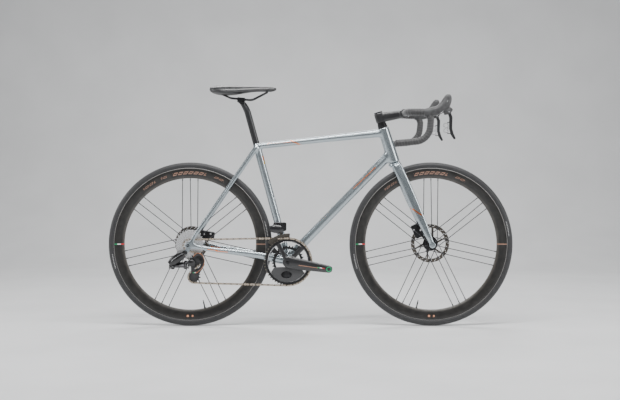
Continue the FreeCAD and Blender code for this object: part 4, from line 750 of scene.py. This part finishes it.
# --- cockpit ----------------------------------------------------------------
def bar_line(spacing=1.3):
    """Points along the left half of the bar: runs joined by tangent arcs."""
    x, z = BAR_CLAMP
    shoulder = Vector((x, BAR_HALF_WIDTH, z))
    corners = [Vector((x, 30, z)), shoulder, shoulder + Vector((92, 0, -2)), shoulder + Vector((81, 3, -114)),
               shoulder + Vector((-48, 5, -125))]
    path = [corners[0]]
    start = corners[0]
    for corner, following, bend in zip(corners[1:], corners[2:], (40, 34, 62)):
        back, ahead = (start - corner).normalized(), (following - corner).normalized()
        half = math.acos(max(-1, min(1, back.dot(ahead)))) / 2
        entry, leave = corner + back * (bend / math.tan(half)), corner + ahead * (bend / math.tan(half))
        centre = corner + (back + ahead).normalized() * (bend / math.sin(half))
        path += runs(path[-1], entry, spacing)
        count = max(4, int(bend * (math.pi - 2 * half) / spacing))
        a, b = entry - centre, leave - centre
        for k in range(1, count + 1):
            path.append(centre + turned(a, b, k / count))
        start = leave
    path += runs(path[-1], corners[-1], spacing)
    return path


def turned(a, b, share):
    angle = a.angle(b)
    axis = a.cross(b).normalized()
    turn = angle * share
    return a * math.cos(turn) + axis.cross(a) * math.sin(turn)


def runs(a, b, spacing):
    count = max(1, int((b - a).length / spacing))
    return [a.lerp(b, k / count) for k in range(1, count + 1)]


def wrap(distance, turn):
    """Overlapping turns of tape: each edge stands a little proud."""
    phase = (distance / 11.0 + turn / (2 * math.pi)) % 1.0
    return 1.5 * (1 - phase) ** 1.3 * min(1.0, phase / 0.10) - 0.35


def cockpit():
    line = bar_line()
    tape = [p for p in line if p.y > 60 and not (p.x > BAR_CLAMP[0] + 62 and p.z > BAR_CLAMP[1] - 14)]
    first = [p for p in tape if p.z > BAR_CLAMP[1] - 14]
    rest = [p for p in tape if p.z <= BAR_CLAMP[1] - 14]
    forms = [follow(first, 13.2, 32, wrap), follow(rest, 13.2, 32, wrap)]
    thing("tape_wrap", forms + [mirror(f) for f in forms], TAPE, "steering", nodes=("bar_tape",))
    x, z = BAR_CLAMP
    w = BAR_HALF_WIDTH
    hood = tube([(Vector((x + 62, w, z - 4)), 14.6, 14.0), (Vector((x + 72, w, z - 3)), 16.6, 15.4),
                 (Vector((x + 95, w, z + 0)), 17.4, 16.0), (Vector((x + 122, w, z + 8)), 18.6, 16.0),
                 (Vector((x + 143, w - 1, z + 25)), 20.6, 15.0),
                 (Vector((x + 154, w - 3, z + 46)), 18.2, 13.4),
                 (Vector((x + 158, w - 4, z + 60)), 14.0, 12.0),
                 (Vector((x + 159, w - 4, z + 69)), 7.0, 7.0)], 2.3, 10, 48)
    nose = tube([(Vector((x + 140, w, z - 2)), 12, 10.5), (Vector((x + 158, w, z + 2)), 12, 10),
                 (Vector((x + 170, w - 1, z + 14)), 9, 9)], 2.3, 6, 32)
    for way, side in ((1, "left"), (-1, "right")):
        forms = [hood, nose] if way > 0 else [mirror(hood), mirror(nose)]
        joint = [(Vector((x + 150, w * way, z + 10)), 22)]
        ob = remeshed("hood_" + side, forms, 1.0 * COARSE, (4, 14), joint, HOOD, "steering", (), 0.2)
        if way > 0:
            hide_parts("lever_bodies")
        pin = rod(Vector((LEVER_PIVOT[0], (w - 12) * way, LEVER_PIVOT[1])),
                  Vector((LEVER_PIVOT[0], (w + 12) * way, LEVER_PIVOT[1])), 2.5, 20, 0.5)
        thing("lever_pin_" + side, [pin], STEEL, "steering")
        rim_line = [Vector((x + 125 + 30 * t, (w + 13.2 - 2.2 * t) * way, z - 6 + 44 * t * t + 6 * t))
                    for t in [k / 14 for k in range(15)]]
        thing("hood_seam_" + side, [follow(rim_line, 0.7, 8)], STEEL, "steering")


def stem_shell():
    """An angular stem that flows from the spacers to the bar clamp."""
    middle = steer(563)
    front = Vector((BAR_CLAMP[0], 0, BAR_CLAMP[1]))
    block = loft([section(steer(s), Vector((0.954, 0, 0.3007)), Vector((0, 1, 0)), a, b, 2.9, 48)
                  for s, a, b in ((543.6, 19.0, 18.5), (546, 20.0, 19.2), (562, 20.0, 19.2),
                                  (579, 19.4, 18.8), (583.0, 18.0, 17.4))])
    reach = tube([(middle + Vector((-12, 0, 0)), 17.0, 17), (middle, 19.8, 18.2),
                  (middle.lerp(front, 0.35), 19.6, 17.6), (middle.lerp(front, 0.75), 18.0, 19),
                  (front, 16.6, 22)], 3.4, 8, 48)
    clamp = rod(front + Vector((0, -22.5, 0)), front + Vector((0, 22.5, 0)), 19.2, 48, 1.6)
    remeshed("stem_shell", [block, reach, clamp], 1.1 * COARSE, (4, 12), [(middle, 40), (front, 20)],
             CARBON, "steering", ("stem",), 0.25)
    for y in (-15, 15):
        for rise in (-9, 9):
            a = front + Vector((17.5, y, rise))
            bolt = rod(a, a + Vector((2.6, 0, 0)), 3.2, 24, 0.5)
            thing("clamp_bolt_%d_%d" % (y + 15, rise + 9), [bolt], STEEL, "steering")


cockpit()
stem_shell()


# --- crank ------------------------------------------------------------------
def crank_shells():
    ahead = Vector((math.cos(math.radians(9.4)), 0, -math.sin(math.radians(9.4))))
    b = Vector((BB[0], 0, BB[1]))

    def arm(way):
        return tube([(b + ahead * (-14 * way) + Vector((0, -58, 0)), 15, 6), (b + Vector((0, -59, 0)), 24, 8),
                     (b + ahead * (30 * way) + Vector((0, -60, 0)), 23.5, 8),
                     (b + ahead * (70 * way) + Vector((0, -61.5, 0)), 22.0, 7.6),
                     (b + ahead * (115 * way) + Vector((0, -65, 0)), 18.8, 7.0),
                     (b + ahead * (155 * way) + Vector((0, -66.5, 0)), 16.2, 6.6),
                     (b + ahead * (174 * way) + Vector((0, -66.5, 0)), 14.4, 6.2),
                     (b + ahead * (183 * way) + Vector((0, -66.5, 0)), 8.5, 4.5)], 2.6, 8, 48)

    def leg(x, z, width, end_width):
        far = b + Vector((x, -50.5, z))
        return tube([(b + Vector((0, -56, 0)), width * 1.25, 6),
                     (b.lerp(far, 0.5) + Vector((0, -26, 0)), width, 4.6),
                     (far, end_width, 3.4)], 2.6, 8, 32)

    boss = rod(b + ahead * 170 + Vector((0, -73, 0)), b + ahead * 170 + Vector((0, -60, 0)), 14, 48, 1)
    upper = [leg(-41, 73, 9.0, 9.5), leg(60, 58, 9.5, 10.0)]
    marks = ((BB[0] + 44, BB[1] - 11.5), (BB[0] + 122, BB[1] - 22.5))
    c0, c1, c2, c3 = [(BB[0] + ahead.x * s, BB[1] + ahead.z * s) for s in (122, 132, 142, 152)]
    skin = carbon_material("carbon_crank", marks=[(marks[0], marks[1], 0.7, COPPER), (c0, c1, 1.6, GREEN),
                                                  (c1, c2, 1.6, WHITE), (c2, c3, 1.6, RED)])
    joints = [(b + Vector((0, -56, 0)), 30), (b + ahead * 168 + Vector((0, -66, 0)), 18)]
    remeshed("crank_right_shell", [arm(1), boss] + upper
             + [rod(b + Vector((0, -66, 0)), b + Vector((0, -52, 0)), 22, 48, 2),
                rod(b + Vector((0, -60, 0)), b + Vector((0, 60, 0)), 12)],
             1.1 * COARSE, (4, 12), joints, skin, "cranks", ("crank_right",), 0.25)
    outline = [(-57, -22), (-30, -20), (20, -22), (58, -30), (66, -44), (52, -64), (28, -78), (-3, -84),
               (-33, -78), (-58, -62), (-70, -42)]
    ring, hole = [], []
    for step in range(64):
        turn = 2 * math.pi * step / 64
        c, s = math.cos(turn), math.sin(turn)
        best = 0.0
        ox, oz = -6.0, -52.0
        for k in range(len(outline)):
            (x0, z0), (x1, z1) = outline[k], outline[(k + 1) % len(outline)]
            det = c * (z1 - z0) - s * (x1 - x0)
            if abs(det) > 1e-9:
                t = ((x0 - ox) * (z1 - z0) - (z0 - oz) * (x1 - x0)) / det
                u = ((x0 - ox) * s - (z0 - oz) * c) / det
                if t > 0 and 0 <= u <= 1:
                    best = max(best, t)
        ring.append((BB[0] + ox + c * best, BB[1] + oz + s * best))
        hole.append((BB[0] + ox + c * 22, BB[1] + oz + s * 15))
    levels = ((ring, -48.5), (ring, -55), (hole, -56.5), (hole, -48.5))
    rings = [[V(x, y, z) for x, z in loop] for loop, y in levels]
    form = ([v for r in rings for v in r], [])
    for i in range(4):
        for j in range(64):
            here, there, after = i * 64, (i + 1) % 4 * 64, (j + 1) % 64
            form[1].append((here + j, here + after, there + after, there + j))
    remeshed("spider_lower", [form], 1.2 * COARSE, (8, 0), [], MATTE, "cranks", (), 0.3)
    dish = loft([[V(BB[0] - 6 + r * math.cos(t) * 23, y, BB[1] - 52 + r * math.sin(t) * 16)
                  for t in [2 * math.pi * k / 48 for k in range(48)]]
                 for r, y in ((1.0, -50.0), (1.0, -53.5), (0.72, -51.6), (0.60, -53.8), (0.25, -54.2))])
    thing("spider_dish", [dish], BLACK, "cranks")
    far = b - ahead * 170
    left = [mirror(arm(-1)), mirror(rod(far + Vector((0, -73, 0)), far + Vector((0, -60, 0)), 14, 48, 1)),
            mirror(rod(b + Vector((0, -66, 0)), b + Vector((0, -52, 0)), 22, 48, 2))]
    remeshed("crank_left_shell", left, 1.1 * COARSE, (4, 10), [], CARBON, "cranks", ("crank_left",), 0.25)
    for way in (1, -1):
        p = b + ahead * (170 * way)
        y = -73.6 * way
        profile = [(y - way * 0.8, 7.2), (y - way * 0.8, 10.4), (y, 11.0), (y + way * 1.6, 11.0),
                   (y + way * 1.6, 7.2)]
        washer = moved(lathe(profile, 64), p.x, p.z)
        thing("pedal_washer_" + ("right" if way > 0 else "left"), [washer], GREENISH, "cranks")
        bolt = [rod(b + Vector((0, -66.4 * way, 0)), b + Vector((0, -67.8 * way, 0)), 9.5, 48, 0.5)]
        thing("crank_bolt_" + ("right" if way > 0 else "left"), bolt, BLACK, "cranks")
    edge = moved(lathe([(-47.6, 81.0), (-47.6, 83.2), (-44.6, 83.2), (-44.6, 81.0)], 160), *BB)
    thing("ring_inner_edge", [edge], STEEL, "cranks")


crank_shells()


# --- derailleur dress -------------------------------------------------------
def derailleurs():
    """Softened copies of the mechanism's bodies with the bulk, covers and edges of the real ones."""
    up = [node_form("rd_upper_knuckle"),
          tube([(Vector((-513, -84, 303)), 11, 8), (Vector((-532, -82, 293)), 17, 11),
                (Vector((-556, -82, 277)), 18, 12), (Vector((-573, -82, 262)), 13, 10)], 2.6, 8, 36)]
    remeshed("rd_upper_body", up, 0.8 * COARSE, (5, 10), [(Vector((-545, -82, 285)), 24)], GLOSS, "frame",
             ("rd_upper_knuckle",), 0.2)
    trim = [Vector((-516 - 12.5 * k, -95.2 - 0.9 * math.sin(k * 0.7), 308 - 8.2 * k + 0.9 * k * (4 - k)))
            for k in range(5)]
    thing("rd_upper_trim", [follow(smooth_line(trim), 0.9, 10)], STEEL, "frame")
    low = [node_form("rd_lower_knuckle"),
           tube([(Vector((-500, -82, 262)), 10, 6), (Vector((-486, -84, 268)), 15, 7),
                 (Vector((-474, -80, 262)), 9, 5)], 2.3, 8, 36)]
    remeshed("rd_lower_body", low, 0.8 * COARSE, (5, 8), [(Vector((-490, -80, 264)), 18)], GLOSS,
             "rd_knuckle", ("rd_lower_knuckle",), 0.15)
    remeshed("rd_link_body", [node_form("rd_link")], 0.7 * COARSE, (4, 0), [], BLACK, "rd_link",
             ("rd_link",), 0.1)
    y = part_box("rd_cage")[0][1] * 1000
    outline = smooth_line([Vector(p) for p in ((-479, y, 292.5), (-467, y, 304), (-455, y, 306),
                                               (-441, y, 296),
                                               (-434, y, 277), (-436, y, 260), (-444, y, 245), (-457, y, 233),
                                               (-470, y, 224))])
    inner = [p + (Vector((-470, y, 262)) - p).normalized() * 11 for p in outline]
    blade = loft([[V(p.x, y - 1.6, p.z) for p in (a, b)] + [V(p.x, y + 0.2, p.z) for p in (b, a)]
                  for a, b in zip(outline, inner)])
    thing("rd_cage_blade", [blade], CARBON, "rd_cage")
    thing("rd_cage_edge", [follow([p + Vector((0, -1.5, 0)) for p in outline], 1.2, 12)], COPPERY, "rd_cage")
    for k, (tint, name) in enumerate(((GREEN, "green"), (WHITE, "white"), (RED, "red"))):
        a = Vector((-481 + 6.5 * k, y - 2.0, 226 + 0.4 * k))
        chip = slab([(a.x, a.z - 1.6), (a.x + 6.3, a.z - 1.4), (a.x + 6.3, a.z + 2.2), (a.x, a.z + 2)],
                    y - 2.1, y - 0.2)
        skin = speckled("dash_" + name, tuple(0.8 * c for c in tint), tint, 200, 0, (0.35, 0.45))
        thing("rd_dash_" + name, [chip], skin, "rd_cage")
    remeshed("fd_body_soft", [node_form("fd_body"),
                              tube([(Vector((-168, -44, 405)), 11, 10), (Vector((-148, -45, 404)), 17, 12),
                                    (Vector((-124, -45, 403)), 15, 11), (Vector((-112, -44, 402)), 9, 8)],
                                   3, 6, 36)],
             0.9 * COARSE, (4, 8), [(Vector((-140, -44, 402)), 20)], GLOSS, "frame", ("fd_body",), 0.15)
    for side in ("front", "rear"):
        body = "steering" if side == "front" else "frame"
        name = side + "_caliper"
        remeshed(name + "_soft", [node_form(name)], 0.8 * COARSE, (9, 0), [], BLACK, body, (name,), 0.25)
        low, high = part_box(name)
        middle = (Vector(low) + Vector(high)) * 500
        for k in (-1, 1):
            p = middle + Vector((14 * k, 0, 5))
            p.y = low[1] * 1000
            bolt = rod(p + Vector((0, 0.5, 0)), p + Vector((0, -2.4, 0)), 4.2, 28, 0.6)
            thing("%s_bolt_%d" % (side, k + 1), [bolt], STEEL, body)


def smooth_line(points, steps=8):
    return [p for p, _, _ in smooth_stations([(p, 0, 0) for p in points], steps)]


derailleurs()


# --- chain ------------------------------------------------------------------
LINK_HALF = 6.35
PLATE_END_R = 4.05
PLATE_SHARP = 1.9


def chain_solids(name):
    """The points, in millimetres, of each separate solid in a CAD node."""
    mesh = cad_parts[name].data
    count = len(mesh.vertices)
    co = np.empty(count * 3)
    mesh.vertices.foreach_get("co", co)
    co = co.reshape(-1, 3)
    keys, owner = {}, np.arange(count)
    for i, point in enumerate(np.round(co * 1e5).astype(int)):
        owner[i] = keys.setdefault(tuple(point), i)
    root = list(range(count))

    def find(i):
        while root[i] != i:
            root[i] = root[root[i]]
            i = root[i]
        return i

    for face in mesh.polygons:
        ids = [find(int(owner[v])) for v in face.vertices]
        for other in ids[1:]:
            root[find(other)] = find(ids[0])
    groups = {}
    for i in range(count):
        groups.setdefault(find(int(owner[i])), []).append(i)
    return [co[g] * 1000 for g in groups.values() if len(g) > 60]


def plate_outline(centre, along, up, y, shrink):
    """A waisted link plate's edge at one level, with round ends about the pins."""
    ring = []
    end_r = PLATE_END_R - shrink
    for step in range(28):
        turn = 2 * math.pi * step / 28
        u = LINK_HALF * math.copysign(min(1.0, abs(math.cos(turn)) * PLATE_SHARP), math.cos(turn))
        v = end_r - 1.15 * math.cos(min(1.0, abs(u) / LINK_HALF) * math.pi / 2) ** 2
        if abs(u) >= LINK_HALF:
            a = (abs(math.cos(turn)) - 1 / PLATE_SHARP) / (1 - 1 / PLATE_SHARP) * math.pi / 2
            u = math.copysign(LINK_HALF + end_r * math.sin(a), u)
            v = end_r * math.cos(a)
        v = math.copysign(v, math.sin(turn))
        ring.append((centre + along * u + up * v + Vector((0, y, 0))) * 0.001)
    return ring


def chain_links():
    """Waisted plates, rollers and pin ends, placed on the CAD chain's own links."""
    outer, inner, pins = [], [], []
    for points in chain_solids("chain"):
        flat = (points - points.mean(0))[:, [0, 2]]
        axis = np.linalg.svd(flat, full_matrices=False)[2][0]
        spread = flat @ axis
        centre = points.mean(0)
        centre[[0, 2]] += axis * (spread.max() + spread.min()) / 2
        rise = points[:, 1].max() - points[:, 1].min()
        lean = np.polyfit(spread, points[:, 1], 1)[0]
        wide = rise > 4.6 + abs(lean) * 12
        along = Vector((axis[0], lean, axis[1])).normalized()
        centre = Vector((centre[0], (points[:, 1].max() + points[:, 1].min()) / 2, centre[2]))
        up = Vector((-along.z, 0, along.x)).normalized()
        half, thick = (2.6, 0.65) if wide else (1.9, 0.75)
        for side in (-1, 1):
            levels = ((half - thick, 0.0), (half - 0.15, 0.0), (half, 0.25))
            rings = [plate_outline(centre, along, up, side * y, shrink) for y, shrink in levels]
            (outer if wide else inner).append(loft(rings))
        for end in (-1, 1):
            p = centre + along * (LINK_HALF * end)
            if wide:
                pins.append(rod(p + Vector((0, -2.85, 0)), p + Vector((0, 2.85, 0)), 1.7, 14, 0.25))
            else:
                inner.append(rod(p + Vector((0, -1.1, 0)), p + Vector((0, 1.1, 0)), 3.75, 18, 0.2))
    thing("chain_outer_plates", outer, CHAIN, "frame", nodes=("chain",))
    thing("chain_inner_links", inner, CHAIN_DARK, "frame")
    thing("chain_pins", pins, STEEL, "frame")


chain_links()


# --- CAD nodes that keep their shape -----------------------------------------
def dress(material, *names, bevel=0.0):
    for name in names:
        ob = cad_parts[name]
        if not ob.material_slots:
            ob.data.materials.append(material)
        for slot in ob.material_slots:
            slot.material = material
        if bevel:
            mod = ob.modifiers.new("eased", "BEVEL")
            mod.width = bevel * 0.001
            mod.segments = 2
            mod.limit_method = "ANGLE"
            mod.angle_limit = math.radians(40)


dress(PAINT, "derailleur_hanger", "seat_wedge")
dress(STEEL, "bottle_bosses", "frame_bearings")
dress(SPOKE, "front_spokes", "rear_spokes")
dress(BLACK, "front_hub", "rear_hub", "front_axle", "rear_axle", "headset_spacers")
dress(ROTOR, "front_rotor", "rear_rotor")
dress(CARBON, "rd_cage", "lever_left", "lever_right", "seatpost", "handlebar")
dress(CAGE, "fd_cage")
dress(PAD, "front_pad_inner", "front_pad_outer", "rear_pad_inner", "rear_pad_outer")
dress(SILVER, "cassette")
dress(RING, "chainrings")
dress(PLASTIC, "jockey_upper", "jockey_lower", "saddle_shell", "bar_end_plugs")
dress(SILVER, "button_upper_left", "button_lower_left", "button_upper_right", "button_lower_right")
dress(BLACK, "saddle_rails", "saddle_clamp")

# --- floor and finish -------------------------------------------------------
floor_mesh = bpy.data.meshes.new("floor")
steps = 24
rows = [(-6.0, 0.0), (2.2, 0.0)]
for k in range(1, steps + 1):
    t = math.pi / 2 * k / steps
    rows.append((2.2 + 1.4 * math.sin(t), 1.4 - 1.4 * math.cos(t)))
rows.append((3.6, 5.0))
verts = [(x, y, z - 0.0003) for y, z in rows for x in (-7.0, 7.0)]
faces = [(2 * i, 2 * i + 1, 2 * i + 3, 2 * i + 2) for i in range(len(rows) - 1)]
floor_mesh.from_pydata(verts, [], faces)
floor_mesh.shade_smooth()
floor = bpy.data.objects.new("floor", floor_mesh)
scene.collection.objects.link(floor)
pale = speckled("floor_pale", (0.66, 0.665, 0.67), (0.70, 0.705, 0.71), 3.0, 0.0, (0.6, 0.7))
floor_mesh.materials.append(pale)
